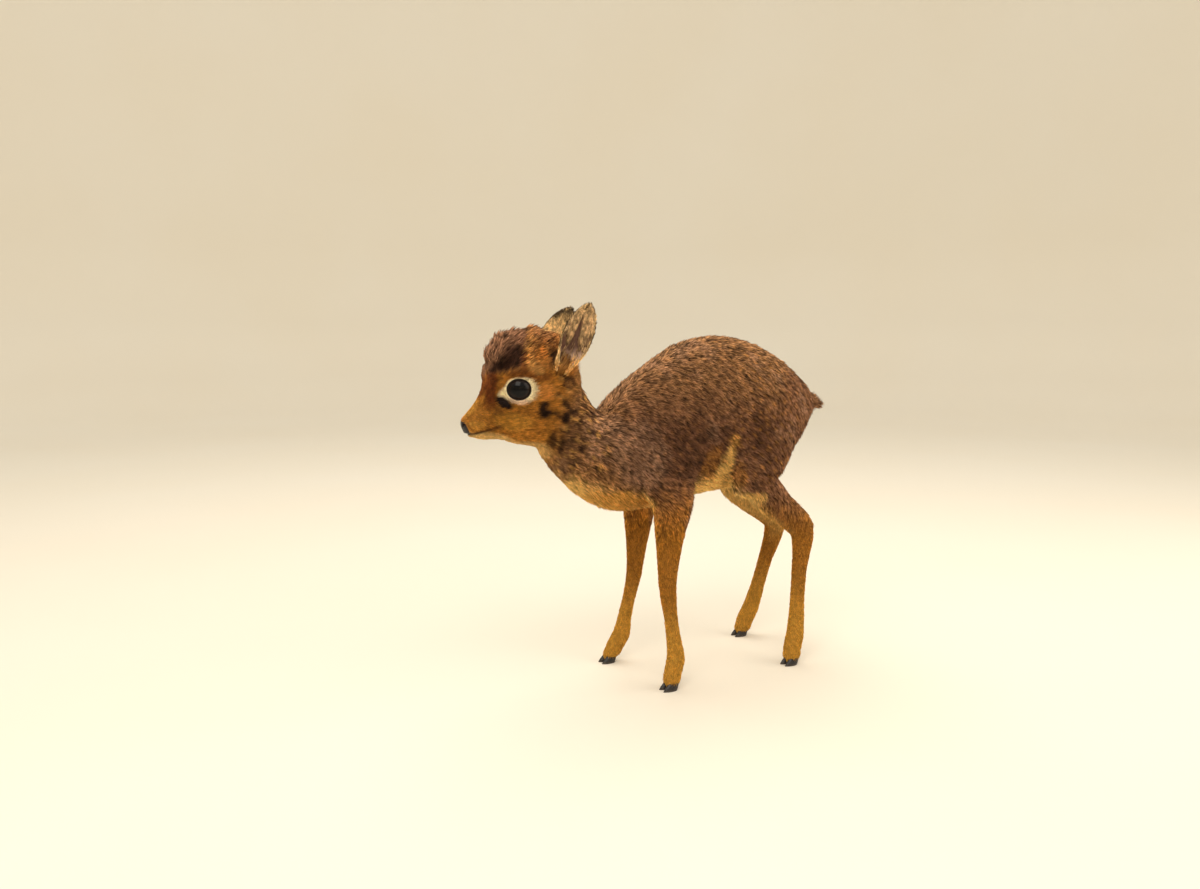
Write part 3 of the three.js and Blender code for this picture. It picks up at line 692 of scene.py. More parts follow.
def shape_details(mesh):
    """Lids, lips, nostrils, glands and the groove of the nose."""
    places = places_of(mesh)
    head = head_places(places)
    lips = mouth_distance(head)
    inset = MOUTH_DEPTH * (1 - smooth(lips, 0.15, MOUTH_HALF))
    swell = LIP_SWELL * smooth(lips, 0.4, 1.2) * (1 - smooth(lips, 1.4, 3.4))
    nostril = nostril_share(head)
    rim = NOSTRIL_RIM * smooth(nostril, 0.02, 0.2) * (1 - smooth(nostril, 0.25, 0.6))
    gland = GLAND_DEPTH * gland_share(head) ** 2
    groove = 1 - smooth(np.abs(head[:, 0]), 0.2, 0.8)
    groove = NOSE_GROOVE * nose_share(head) * groove * (head[:, 2] < -27)
    move = swell + rim - inset - NOSTRIL_DEPTH * nostril - gland - groove
    move_to(mesh, shape_lids(places + normals_of(mesh) * move[:, None] * MM))


# Marks on the coat of the head: name, colour, place (side, ahead, up), reach the same way, and strength.
HEAD_MARKS = [
    ("brow stripe", "bridge", (13, 21, 3), (8, 8, 15), 0.92),
    ("forehead stripe", "bridge", (0, 27, 4), (9, 8, 13), 0.85),
    ("above the eye", "bridge", (23, -3, 12), (8, 12, 4), 0.6),
    ("muzzle top", "cheek", (0, 35, -14), (8, 10, 8), 0.8),
    ("muzzle side", "cheek", (9, 28, -20), (7, 12, 7), 0.1),
    ("before the gland", "bridge", (13, 21, -11), (8, 6, 6), 0.55),
    ("before the ear", "temple", (19, -19, 25), (9, 6.5, 10), 0.5),
    ("upper lip", "cheek", (12, 30, -27), (8, 8, 3.4), 0.7),
    ("behind the brow", "bridge", (22, -17, 9.5), (9, 9, 4), 0.55),
    ("behind the crest", "bridge", (20, -3, 24), (9, 5, 10), 0.75),
    ("cheek", "cheek", (20, 6, -24), (12, 17, 8), 0.8),
    ("temple", "temple", (22, -19, -2), (10, 8, 7), 0.9),
    ("chin", "chin", (0, 24, -37.4), (16, 27, 6.3), 0.9),
    ("throat", "chin", (0, -12, -47), (17, 32, 10), 0.65),
    ("gland shade", "dark", (17, 15, -17), (5, 5, 3), 0.35),
    ("crown band top", "band", (11, -12, 38), (7, 3.4, 6), 0.55),
    ("crown band", "band", (17, -7, 29), (8, 3.0, 6), 0.85),
    ("crown band low", "band", (21, -9, 20), (8, 3.2, 6), 0.85),
    ("crown band foot", "band", (22, -14, 14), (8, 4.5, 3.6), 0.75),
    # Ear slot: painted shade, a dark patch in the blotch colour where the foot of the ear meets the head.
    ("ear slot shade", "blotch", (18, -28, 24), (7, 3.2, 7), 0.8),
    ("cheek blotch", "blotch", (22, -18.8, -15.6), (9, 5.9, 7.4), 0.98),
    ("blotch notch", "face", (22, -22.6, -13.4), (9, 2.4, 2.2), 0.75),
    ("blotch link", "blotch", (22, -27, -18), (9, 5.6, 2.0), 0.8),
    ("nape blotch", "blotch", (20.5, -37.5, 5), (9, 5.2, 6.0), 0.92),
    ("nape heart", "crown", (20.5, -37.5, 3.6), (9, 2.4, 3.0), 0.85),
    ("neck blotch", "blotch", (20.3, -36, -22), (9, 4.6, 5.6), 0.95),
    ("neck streak", "blotch", (16.5, -26, -38.5), (9, 3.2, 8), 0.75),
    ("second streak", "blotch", (17, -33, -44), (9, 2.8, 8), 0.8),
]

# Marks of the body: name, colour, place (side, back, up) from the body's origin, reach, and strength.
BODY_MARKS = [
    ("side shade", "dark", (38, -30, 190), (18, 46, 27), 0.6),
    ("shoulder", "saddle", (34, -84, 190), (18, 26, 34), 0.7),
    ("neck base", "saddle", (24, -110, 208), (20, 20, 26), 0.6),
    ("flank edge", "leg", (37, -15, 176), (16, 13, 20), 0.35),
    ("chest", "belly", (13, -112, 156), (16, 14, 7), 0.7),
    ("breast", "belly", (18, -94, 152), (18, 17, 11), 0.95),
    ("elbow", "belly", (16, -74, 147), (16, 16, 10), 0.9),
    ("belly", "cream", (0, -30, 150), (24, 46, 12), 0.8),
    ("flank low", "cream", (20, -8, 158), (17, 15, 9), 0.95),
    ("flank", "cream", (29, -3, 171), (14, 8.5, 10), 0.95),
    ("flank fold", "cream", (35, 1, 184), (12, 6.5, 10), 0.9),
    ("flank top", "belly", (38, 4, 197), (12, 7, 7), 0.5),
    ("thigh front", "leg", (34, 12, 168), (12, 6, 14), 0.35),
    ("thigh low", "cream", (28, 26, 147), (18, 18, 6.5), 0.7),
    ("groin", "cream", (8, 34, 156), (18, 40, 18), 0.8),
    ("thigh shade", "dark", (39, 28, 204), (18, 10, 25), 0.6),
    ("thigh mid", "dark", (39, 46, 178), (14, 16, 24), 0.35),
    ("rump", "side", (24, 84, 222), (24, 34, 40), 0.95),
    ("foreleg back", "side", (36, -39, 128), (14, 8, 24), 0.7),
]

# Darkest places of the crest, with their reach.
CREST_SHADES = [((18, 2, 23), (12, 9, 9)), ((18, 13, 15), (12, 9, 8))]

# The hair of the face streams back from this place before the nose.
HAIR_START = np.array([0, 44, -24])


def mark_share(places, centre, reach):
    """1 in the middle of a mark and 0 past its reach, the same on both sides."""
    shifted = np.abs(places[:, 0]) - centre[0] if centre[0] else places[:, 0]
    away = np.sqrt(
        (shifted / reach[0]) ** 2
        + ((places[:, 1] - centre[1]) / reach[1]) ** 2
        + ((places[:, 2] - centre[2]) / reach[2]) ** 2
    )
    return 1 - smooth(away, 0.7, 1.12)


def ripple(places, size, seed):
    """Soft repeatable noise from -1 to 1 with waves about size millimetres long."""
    random = np.random.default_rng(seed)
    total = np.zeros(len(places))
    for _ in range(7):
        way = unit(random.normal(size=3)) * (2 * math.pi / size) * random.uniform(0.6, 1.5)
        total += np.sin(places @ way + random.uniform(0, 7))
    return total / 4.2


def coat_colours(places, normals, shown):
    """Linear colour of the coat at each root. The hair shows its colour further on, at the shown places."""
    head, body = head_places(shown), body_places(shown)
    wobble, fine = ripple(body, 11, 3), ripple(body, 5, 4)
    still = np.zeros(len(places))

    def stirred(spots, back, up):
        """Places shaken by the noise, so that no mark has an even edge."""
        return spots + np.stack([still, back * wobble, up * fine], 1)

    height, back = body[:, 2] + 5 * wobble, body[:, 1]
    colour = np.tile(TINT["side"], (len(places), 1))
    colour = mix(colour, "back", smooth(height, 205, 255))
    colour = mix(colour, "neck", 0.8 * under(back, -78, -104))
    below = smooth(-normals[:, 2], 0.25, 0.75) * under(height, 182, 164)
    colour = mix(colour, "cream", 0.85 * below)
    colour = mix(colour, "leg", 0.95 * under(height + 17 * smooth(back, -20, 20), 172, 116))
    colour = mix(colour, "foot", 0.85 * under(height, 85, 30))
    inner = smooth(-normals[:, 0] * np.sign(body[:, 0]), 0.1, 0.8)
    thigh = 0.75 * smooth(back, -20, 0) * inner * under(height, 185, 155) * smooth(height, 80, 125)
    colour = mix(colour, "cream", thigh)
    spots = stirred(body, 2.5, 2.0)
    for _, name, centre, reach, strength in BODY_MARKS:
        colour = mix(colour, name, strength * mark_share(spots, centre, reach))
    upper = smooth(height, 165, 190)
    cloud = ripple(body, 30, 16)
    colour = mix(colour, "dark", 0.4 * upper * smooth(ripple(body, 8, 6), 0.25, 1.0))
    colour = mix(colour, "dark", 0.35 * upper * smooth(cloud, 0.1, 0.9))
    colour = mix(colour, "saddle", 0.45 * upper * smooth(-cloud, 0.1, 0.9))
    golden = 0.12 + 0.26 * smooth(back, -20, 30) - 0.2 * smooth(back, 50, 90)
    golden = golden * smooth(height, 140, 170)
    colour = mix(colour, "leg", golden * smooth(ripple(body, 5, 17), 0.2, 0.8))
    colour = mix(colour, "tail", tail_share(body, 112, 120, 210))

    on_head = smooth(head[:, 1] + 0.25 * head[:, 2], -50, -30)
    nape = under(head[:, 1], -22, -34) * (1 - under(head[:, 1], -60, -84)) * smooth(body[:, 2], 168, 186)
    face = mix(np.tile(TINT["face"], (len(places), 1)), "crown", smooth(head[:, 2], 10, 20))
    colour = colour + (face - colour) * on_head[:, None]
    colour = mix(colour, "dark", 0.25 * on_head * smooth(ripple(body, 6, 14), 0.3, 1.0))
    colour = mix(colour, "blotch", 0.85 * nape * smooth(ripple(body, 8, 12), 0.4, 0.65))
    colour = mix(colour, "band", 0.8 * nape * smooth(ripple(body, 6, 13), 0.45, 0.75))
    spots = stirred(head, 1.0, 0.9)
    for _, name, centre, reach, strength in HEAD_MARKS:
        colour = mix(colour, name, strength * mark_share(spots, centre, reach))
    crest = crest_share(stirred(head, 1.5, 1.5))
    colour = mix(colour, "crest", 0.95 * crest)
    for centre, reach in CREST_SHADES:
        colour = mix(colour, "crest_dark", 0.92 * crest * mark_share(head, centre, reach))
    top = lock_share(head) * under(head[:, 1], -2, -8) * smooth(head[:, 2], 30, 40)
    colour = mix(colour, "crest", 0.45 * top)
    ring, low = ring_share(shown, 0.4 * wobble)
    colour = mix(colour, "ring", 0.95 * ring)
    colour = mix(colour, "lower_lid", 0.7 * low)
    colour = mix(colour, "rim", 1 - smooth(lid_share(places), 0.1, 0.4))
    bare = head_places(places)
    colour = mix(colour, "gland", gland_share(bare))
    lips = 1 - smooth(mouth_distance(bare), 0.6, 1.6)
    return mix(colour, "mouth", 0.8 * lips * (bare[:, 1] > 12))


def coat_lie(places, normals):
    """Way that the hair lies on the skin at each place."""
    head, body = head_places(places), body_places(places)
    face = unit(head - HAIR_START)
    face[:, 2] *= 0.8
    face = blend(face, np.array([0.0, -0.8, 0.5]), lock_share(head)[:, None]) @ HEAD_AXES
    for root, tip in EAR_LINES.values():
        near = 1 - smooth(np.linalg.norm(places - root, axis=1) / MM, 7, 14)
        face = face + (unit(tip - root) - face) * 0.85 * near[:, None]
    for name in SIDES:
        face = turned_from_eye(face, places, normals, name)
    trunk = np.tile([0, 1.0, -0.25], (len(places), 1))
    trunk[:, 2] -= 0.5 * np.abs(normals[:, 0])
    for share, way in (
        (smooth(body[:, 1], 10, 70), (0, 0.5, -0.9)),
        (under(body[:, 2], 165, 130), (0, 0.12, -1.0)),
        (tail_share(body, 108, 116), (0, 1.0, -0.35)),
        (tail_root_share(body), unit(TAIL_ROOT + np.array([0, 14, 1]) - body)),
        (under(body[:, 1], -84, -100), (0, 0.85, -0.6)),
    ):
        trunk = blend(trunk, np.asarray(way), share[:, None])
    lie = blend(trunk, face, smooth(head[:, 1], -52, -34)[:, None])
    return unit(laid(lie, normals))


def turned_from_eye(face, places, normals, name):
    """Lie of the face's hair, turned along the lids where it would run into the eye."""
    centre, _ = eye_frame(name)
    seen = eye_places(places, name)
    hold = (1 - smooth(outside_opening(seen), 0.5, 6)) * (seen[:, 0] > 0)
    away = unit(laid(places - centre, normals))
    inward = (np.minimum(np.sum(face * away, 1), 0) * hold)[:, None]
    along = np.cross(normals, away)
    along = along * np.sign(along[:, 2:]) * np.sign(seen[:, 2:3] + 1.0)
    return face - 1.25 * inward * away - 0.6 * inward * along


def coat_length(places):
    """Length of the hair in metres and the tangent of the angle at which it stands."""
    head, body = head_places(places), body_places(places)
    leg = under(body[:, 2], 165, 105)
    length = HAIR_LENGTH["trunk"] + BELLY_MORE * under(body[:, 2], 180, 160)
    length = blend(length, HAIR_LENGTH["leg"], leg)
    face = HAIR_LENGTH["face"] - MUZZLE_LESS * smooth(head[:, 1], 5, 34)
    face = face * (0.35 + 0.65 * smooth(lid_share(places), 0.5, 7))
    length = blend(length, face, smooth(head[:, 1], -54, -36))
    stand = HAIR_STAND["trunk"] - 0.1 * leg
    crest = lock_share(head) ** 2
    locks = HAIR_LENGTH["crest"] + 1.4 * under(head[:, 1], 24, 6) - 1.5 * under(head[:, 1], -4, -20)
    length = blend(length, locks, crest)
    stand = blend(stand, HAIR_STAND["crest"] + 0.22 * crest_front(head), crest)
    root = ear_root_share(places)
    length = blend(length, HAIR_LENGTH["ear_root"], root)
    tail = tail_share(body, 110, 118)
    length = blend(length, HAIR_LENGTH["tail"], tail)
    rump = tail_root_share(body) * (1 - tail)
    length = length + RUMP_MORE * rump
    return length * MM, stand + 0.55 * root + 0.4 * tail + 0.4 * rump


def coat_cover(places):
    """How thickly tufts stand: 1 on most of the coat, 0 on bare skin."""
    head, body = head_places(places), body_places(places)
    cover = smooth(lid_share(places), 0.2, 0.5)
    cover = cover * (1 - smooth(nose_share(head), 0.2, 0.6))
    cover = cover * (1 - 0.85 * gland_share(head))
    lips = smooth(mouth_distance(head), 0.3, 0.7)
    cover = cover * np.where(head[:, 1] > 10, lips, 1)
    return cover * smooth(body[:, 2], 6.2, 7.4)


def unwrap_place(places, turn_axis):
    """Place of each corner on an unwrap of the skin: its turn about an axis, and its place along it."""
    low, high = places.min(0), places.max(0)
    a, b = [k for k in range(3) if k != turn_axis]
    mid = (low + high) / 2
    turn = np.arctan2(places[:, a] - mid[a], places[:, b] - mid[b]) / (2 * math.pi) + 0.5
    along = (places[:, turn_axis] - low[turn_axis]) / max(high[turn_axis] - low[turn_axis], 1e-6)
    return turn, along


# Materials.
class Tree:
    """Adds nodes to a node tree and joins their sockets."""

    def __init__(self, tree):
        self.tree = tree

    def fill(self, socket, value):
        """Joins a socket to an input, or gives the input a value."""
        if isinstance(value, bpy.types.NodeSocket):
            self.tree.links.new(value, socket)
        else:
            socket.default_value = value

    def add(self, kind, inputs=None, **settings):
        """New node with its settings, and its inputs by name or number as values or sockets."""
        node = self.tree.nodes.new(kind)
        for name, value in settings.items():
            setattr(node, name, value)
        for name, value in (inputs or {}).items():
            self.fill(node.inputs[name] if isinstance(name, int) else self.used(node.inputs, name), value)
        return node

    @staticmethod
    def used(sockets, name=None):
        """The first socket that is in use, of that name if one is given."""
        return next(s for s in sockets if s.enabled and name in (None, s.name))

    def math(self, operation, a, b=0.0, clamp=False):
        """Number worked out from two."""
        node = self.add("ShaderNodeMath", {0: a, 1: b}, operation=operation, use_clamp=clamp)
        return node.outputs[0]

    def times(self, a, b):
        """Product of two numbers."""
        return self.math("MULTIPLY", a, b)

    def vector(self, operation, a, b=(0.0, 0.0, 0.0)):
        """Vector worked out from two."""
        return self.add("ShaderNodeVectorMath", {0: a, 1: b}, operation=operation).outputs[0]

    def scaled(self, a, factor):
        """Vector or colour times a number."""
        return self.add("ShaderNodeVectorMath", {0: a, "Scale": factor}, operation="SCALE").outputs[0]

    def remap(self, value, low, high, to_low, to_high):
        """Number moved from one span to another, and held within it."""
        node = self.add("ShaderNodeMapRange", {0: value, 1: low, 2: high, 3: to_low, 4: to_high})
        return node.outputs[0]

    def between(self, factor, a, b):
        """Mix of two numbers."""
        return self.add("ShaderNodeMix", {0: factor, 2: a, 3: b}).outputs[0]

    def mix(self, factor, a, b):
        """Mix of two colours."""
        return self.add("ShaderNodeMix", {0: factor, 6: a, 7: b}, data_type="RGBA").outputs[2]

    def parts(self, vector):
        """Outputs for the parts of a vector."""
        return self.add("ShaderNodeSeparateXYZ", {0: vector}).outputs


class Surface(Tree):
    """Node tree of a new material, with its shader."""

    def __init__(self, name, roughness, specular):
        self.material = bpy.data.materials.new(name)
        self.material.use_nodes = True
        super().__init__(self.material.node_tree)
        self.shader = self.tree.nodes["Principled BSDF"]
        self.give("Roughness", roughness)
        self.give("Specular IOR Level", specular)

    def give(self, name, value):
        """Gives an input of the shader a value or a socket."""
        self.fill(self.shader.inputs[name], value)

    def field(self, name, output="Fac"):
        """What the mesh stores under a name."""
        return self.add("ShaderNodeAttribute", attribute_name=name).outputs[output]

    def spot(self):
        """Place in the object's own coordinates."""
        return self.add("ShaderNodeTexCoord").outputs["Object"]

    def noise(self, scale, detail=2.0):
        """Noise over the object's own coordinates."""
        inputs = {"Vector": self.spot(), "Scale": scale, "Detail": detail}
        return self.add("ShaderNodeTexNoise", inputs).outputs[0]

    def bump(self, height, strength, distance):
        """Fine relief from a height, up to a distance in metres."""
        node = self.add("ShaderNodeBump", {"Height": height, "Strength": strength, "Distance": distance})
        self.give("Normal", node.outputs[0])


def mottled(name, tint, roughness, specular, scale, span=None):
    """Surface whose colour wanders between a tint and its light one, and the noise behind it."""
    surface = Surface(name, roughness, specular)
    cloud = surface.noise(scale)
    share = surface.remap(cloud, *span, 0, 1) if span else cloud
    surface.give("Base Color", surface.mix(share, paint(tint), paint(f"{tint}_light")))
    return surface, cloud


def coat_material():
    """Hair: the coat's colour, darker at the root, banded and flecked where it is grizzled."""
    surface = Surface("coat_hair", 0.66, 0.12)
    tone = surface.field("tone")
    grizzle = surface.math("MULTIPLY", surface.field("grizzle"), 1.0, clamp=True)
    along = surface.parts(surface.field("patch", "Vector"))["Y"]
    flecked = surface.remap(tone, 0.15, 0.85, 0.2, 2.1)
    even = surface.remap(tone, 0, 1, 0.66, 1.4)
    level = surface.between(grizzle, even, flecked)
    rise = surface.remap(along, 0, 0.5, 0.62, 1.15)
    band = surface.remap(along, 0.38, 0.62, 0.72, 1.5)
    tip = surface.times(band, surface.remap(along, 0.76, 0.92, 1.0, 0.35))
    tipped = surface.between(grizzle, 1.0, tip)
    factor = surface.times(surface.times(level, rise), tipped)
    surface.give("Base Color", surface.scaled(surface.field("coat_colour", "Color"), factor))
    return surface.material


def skin_material():
    """Skin under the coat: the same marks, darker and roughened like close short fur."""
    surface = Surface("coat_skin", 0.75, 0.2)
    coarse, fine = surface.noise(420, 2), surface.noise(2600, 2)
    shade = surface.remap(coarse, 0.3, 0.7, 0.65, 1.05)
    tone = surface.times(shade, surface.remap(fine, 0.3, 0.7, 0.8, 1.15))
    surface.give("Base Color", surface.scaled(surface.field("coat_colour", "Color"), tone))
    surface.bump(fine, 0.5, 0.0004)
    return surface.material


def ear_material():
    """Thin skin of the ear, with cloudy tones and a fine grain."""
    surface = Surface("ear_skin", 0.6, 0.3)
    tone = surface.remap(surface.noise(600, 3), 0.3, 0.7, 0.75, 1.15)
    surface.give("Base Color", surface.scaled(surface.field("coat_colour", "Color"), tone))
    surface.bump(surface.noise(2400, 2), 0.4, 0.0003)
    return surface.material


def nose_material():
    """Moist black leather of the nose pad with fine pebbles."""
    surface, cloud = mottled("nose_leather", "nose", 0.45, 0.3, 500, (0.35, 0.65))
    cells = surface.add("ShaderNodeTexVoronoi", {"Vector": surface.spot(), "Scale": 1500.0})
    surface.bump(cells.outputs["Distance"], 0.6, 0.0003)
    surface.give("Roughness", surface.remap(cloud, 0.3, 0.7, 0.28, 0.5))
    return surface.material


def eye_material():
    """Dark eye: a deep brown iris about a wide black pupil, under a clear wet surface."""
    surface = Surface("eye_dark", 0.05, 0.17)
    strands = surface.remap(surface.noise(1800, 3), 0.3, 0.7, -0.05, 0.05)
    edge = surface.math("ADD", surface.field("from_pupil"), strands)
    iris = surface.mix(surface.remap(edge, 0.52, 0.66, 0, 1), paint("eye"), paint("iris"))
    surface.give("Base Color", surface.mix(surface.remap(edge, 0.84, 0.93, 0, 1), iris, paint("eye")))
    return surface.material


def horn_material():
    """Black horn of the hooves with growth rings and a worn edge."""
    surface = Surface("hoof_horn", 0.36, 0.5)
    height = surface.parts(surface.spot())["Z"]
    cloud = surface.noise(350)
    waves = surface.math("ADD", surface.times(height, 5200.0), surface.times(cloud, 9.0))
    worn = surface.times(surface.remap(height, 0.0, 0.0022, 1.0, 0.0), cloud)
    surface.give("Base Color", surface.mix(worn, paint("hoof"), paint("hoof_light")))
    surface.bump(surface.math("SINE", waves), 0.25, 0.00015)
    surface.give("Roughness", surface.remap(cloud, 0.3, 0.7, 0.28, 0.5))
    return surface.material


# Tufts: side of each one's patch on the map of the coat, and their bend as a share of their length.
PATCH = 0.003
TUFT_BEND = 0.13

# Borders of the map of the coat, its room for turns and heights, and for faces across its seam.
MAP_BORDER = 0.01
MAP_TURN = 0.96
MAP_HEIGHT = 0.98
MAP_SEAM = 1.02

# Fields of the skin that its coat reads.
COAT_FIELDS = ["lie", "coat_colour", "stand", "hair_length", "hair_width", "cover", "grizzle"]


def tuft_mesh(name, rings):
    """Closed three-sided blade of length 1 along x. Rings are its (place, width, height)."""
    places = [(-0.06, 0, -0.5)]
    for x, width, z in rings:
        places += [(x, -width / 2, z), (x, width / 2, z), (x, 0, z + 0.75 * width)]
    places.append((1, 0, 0))
    faces = [(0, 2, 1), (0, 3, 2), (0, 1, 3)]
    for k in range(len(rings) - 1):
        a, b = 1 + 3 * k, 4 + 3 * k
        for i, j in ((0, 1), (1, 2), (2, 0)):
            faces += [(a + i, a + j, b + j), (a + i, b + j, b + i)]
    last, tip = 1 + 3 * (len(rings) - 1), len(places) - 1
    faces += [(last, last + 1, tip), (last + 1, last + 2, tip), (last + 2, last, tip)]
    mesh = mesh_from(name, places, faces)
    patch = [(y + 0.5, max(x, 0.0), 0.0) for x, y, _ in places]
    set_attribute(mesh, "patch", np.array(patch))
    return mesh


TUFTS = {
    "short": [(0.36, 1.0, 0.55)],
    "long": [(0.28, 1.0, 0.5), (0.68, 0.66, 0.55)],
}

TREE_INPUTS = [
    ("Geometry", "NodeSocketGeometry"),
    ("Density", "NodeSocketFloat"),
    ("Width", "NodeSocketFloat"),
    ("Jitter", "NodeSocketFloat"),
    ("Clump", "NodeSocketFloat"),
    ("Clump scale", "NodeSocketFloat"),
    ("Seed", "NodeSocketInt"),
    ("Tuft", "NodeSocketObject"),
    ("Material", "NodeSocketMaterial"),
]


def tuft_tree():
    """Node tree that stands tufts on a piece of skin along the lie of the coat."""
    group = bpy.data.node_groups.new("coat_tufts", "GeometryNodeTree")
    for name, kind in TREE_INPUTS:
        group.interface.new_socket(name, in_out="INPUT", socket_type=kind)
    group.interface.new_socket("Geometry", in_out="OUTPUT", socket_type="NodeSocketGeometry")
    tree = Tree(group)
    given = tree.add("NodeGroupInput").outputs

    def named(name, kind="FLOAT"):
        """Field that the skin or the tuft stores under a name."""
        return tree.add("GeometryNodeInputNamedAttribute", {"Name": name}, data_type=kind).outputs[0]

    def chance(low, high, seed):
        """Random number of each tuft, always the same one."""
        inputs = {"Min": low, "Max": high, "Seed": seed}
        return tree.used(tree.add("FunctionNodeRandomValue", inputs, data_type="FLOAT").outputs)

    density = tree.times(named("cover"), given["Density"])
    scatter = tree.add(
        "GeometryNodeDistributePointsOnFaces",
        {"Mesh": given["Geometry"], "Density": density, "Seed": given["Seed"]},
        distribute_method="RANDOM",
    )
    normal = scatter.outputs["Normal"]
    place = tree.add("GeometryNodeInputPosition").outputs[0]
    clumps = tree.add("ShaderNodeTexNoise", {"Vector": place, "Scale": given["Clump scale"], "Detail": 1.0})
    flecks = tree.add("ShaderNodeTexNoise", {"Vector": place, "Scale": 380.0, "Detail": 1.5})
    clouds = tree.add("ShaderNodeTexNoise", {"Vector": place, "Scale": 160.0, "Detail": 1.0})
    lean = tree.scaled(tree.vector("SUBTRACT", clumps.outputs[1], (0.5, 0.5, 0.5)), given["Clump"])
    random = tree.add(
        "FunctionNodeRandomValue",
        {"Min": (-1.0, -1.0, -1.0), "Max": (1.0, 1.0, 1.0), "Seed": 5},
        data_type="FLOAT_VECTOR",
    )
    stray = tree.scaled(tree.used(random.outputs), given["Jitter"])
    rise = tree.scaled(normal, named("stand"))
    way = tree.vector("ADD", named("lie", "FLOAT_VECTOR"), rise)
    way = tree.vector("ADD", way, tree.vector("ADD", lean, stray))
    turn = tree.add(
        "FunctionNodeAxesToRotation",
        {"Primary Axis": way, "Secondary Axis": normal},
        primary_axis="X",
        secondary_axis="Z",
    )
    length = tree.times(named("hair_length"), chance(0.7, 1.25, 6))
    width = tree.times(tree.times(given["Width"], chance(0.75, 1.3, 7)), named("hair_width"))
    bend = tree.times(length, TUFT_BEND)
    size = tree.add("ShaderNodeCombineXYZ", {0: length, 1: width, 2: bend}).outputs[0]
    fleck = tree.remap(flecks.outputs[0], 0.4, 0.6, 0.0, 1.0)
    cloud = tree.remap(clouds.outputs[0], 0.38, 0.62, 0.0, 1.0)
    tone = tree.math("ADD", tree.times(fleck, 0.5), tree.times(cloud, 0.08))
    tone = tree.math("ADD", tone, tree.times(chance(0.0, 1.0, 8), 0.42))
    toned = tree.add(
        "GeometryNodeStoreNamedAttribute",
        {"Geometry": scatter.outputs["Points"], "Name": "tone", "Value": tone},
        data_type="FLOAT",
        domain="POINT",
    )
    tuft = tree.add("GeometryNodeObjectInfo", {"Object": given["Tuft"]}).outputs["Geometry"]
    stood = tree.add(
        "GeometryNodeInstanceOnPoints",
        {"Points": toned.outputs[0], "Instance": tuft, "Rotation": turn.outputs[0], "Scale": size},
    )
    solid = tree.add("GeometryNodeRealizeInstances", {"Geometry": stood.outputs[0]}).outputs[0]
    spot = tree.vector("SUBTRACT", named("patch", "FLOAT_VECTOR"), (0.5, 0.5, 0.0))
    spot = tree.vector("ADD", named("root_place", "FLOAT_VECTOR"), tree.scaled(spot, PATCH))
    solid = tree.add(
        "GeometryNodeStoreNamedAttribute",
        {"Geometry": solid, "Name": "OFBake", "Value": spot},
        data_type="FLOAT2",
        domain="CORNER",
    ).outputs[0]
    for name in ("lie", "stand", "hair_length", "hair_width", "cover", "root_place"):
        solid = tree.add("GeometryNodeRemoveAttribute", {"Geometry": solid, "Name": name}).outputs[0]
    dressed = tree.add("GeometryNodeSetMaterial", {"Geometry": solid, "Material": given["Material"]})
    tree.add("NodeGroupOutput", {"Geometry": dressed.outputs[0]})
    return group


def grow_tufts(name, patch, tuft, settings):
    """Object of solid tufts that stand on a patch of skin."""
    made = new_object(name, patch)
    tree = bpy.data.node_groups.get("coat_tufts") or tuft_tree()
    modifier = made.modifiers.new("coat", "NODES")
    modifier.node_group = tree
    identifiers = {s.name: s.identifier for s in tree.interface.items_tree if s.in_out == "INPUT"}
    material = bpy.data.materials.get("coat_hair") or coat_material()
    for key, value in {**settings, "Tuft": tuft, "Material": material}.items():
        modifier[identifiers[key]] = value
    made.update_tag()
    graph = bpy.context.evaluated_depsgraph_get()
    grown = bpy.data.meshes.new_from_object(
        made.evaluated_get(graph), preserve_all_data_layers=True, depsgraph=graph
    )
    made.modifiers.clear()
    made.data = grown
    bpy.data.meshes.remove(patch)
    grown.name = name
    return made


def skin_patch(name, mesh, chosen, turn_axis):
    """Mesh of the chosen faces with the fields that the tufts read."""
    loops = read(mesh.loops, "vertex_index", 1, np.int32)
    starts = read(mesh.polygons, "loop_start", 1, np.int32)
    totals = read(mesh.polygons, "loop_total", 1, np.int32)
    faces = [loops[starts[k] : starts[k] + totals[k]] for k in np.where(chosen)[0]]
    used = np.unique(np.concatenate(faces))
    index = np.full(len(mesh.vertices), -1)
    index[used] = np.arange(len(used))
    places = places_of(mesh)[used]
    patch = bpy.data.meshes.new(name)
    patch.from_pydata([tuple(p) for p in places], [], [tuple(index[f]) for f in faces])
    for key in COAT_FIELDS:
        set_attribute(patch, key, get_attribute(mesh, key)[used])
    turn, along = unwrap_place(places, turn_axis)
    corners = read(patch.loops, "vertex_index", 1, np.int32)
    first = read(patch.polygons, "loop_start", 1, np.int32)
    count = read(patch.polygons, "loop_total", 1, np.int32)
    whole = np.repeat(np.arange(len(count)), count)
    corner_turn = turn[corners]
    high = np.maximum.reduceat(corner_turn, first)[whole]
    corner_turn = np.where(high - corner_turn > 0.5, corner_turn + 1, corner_turn)
    across = MAP_BORDER + MAP_TURN * corner_turn / MAP_SEAM
    spots = np.column_stack([across, MAP_BORDER + MAP_HEIGHT * along[corners], np.zeros(len(across))])
    set_attribute(patch, "root_place", spots, "CORNER")
    return patch


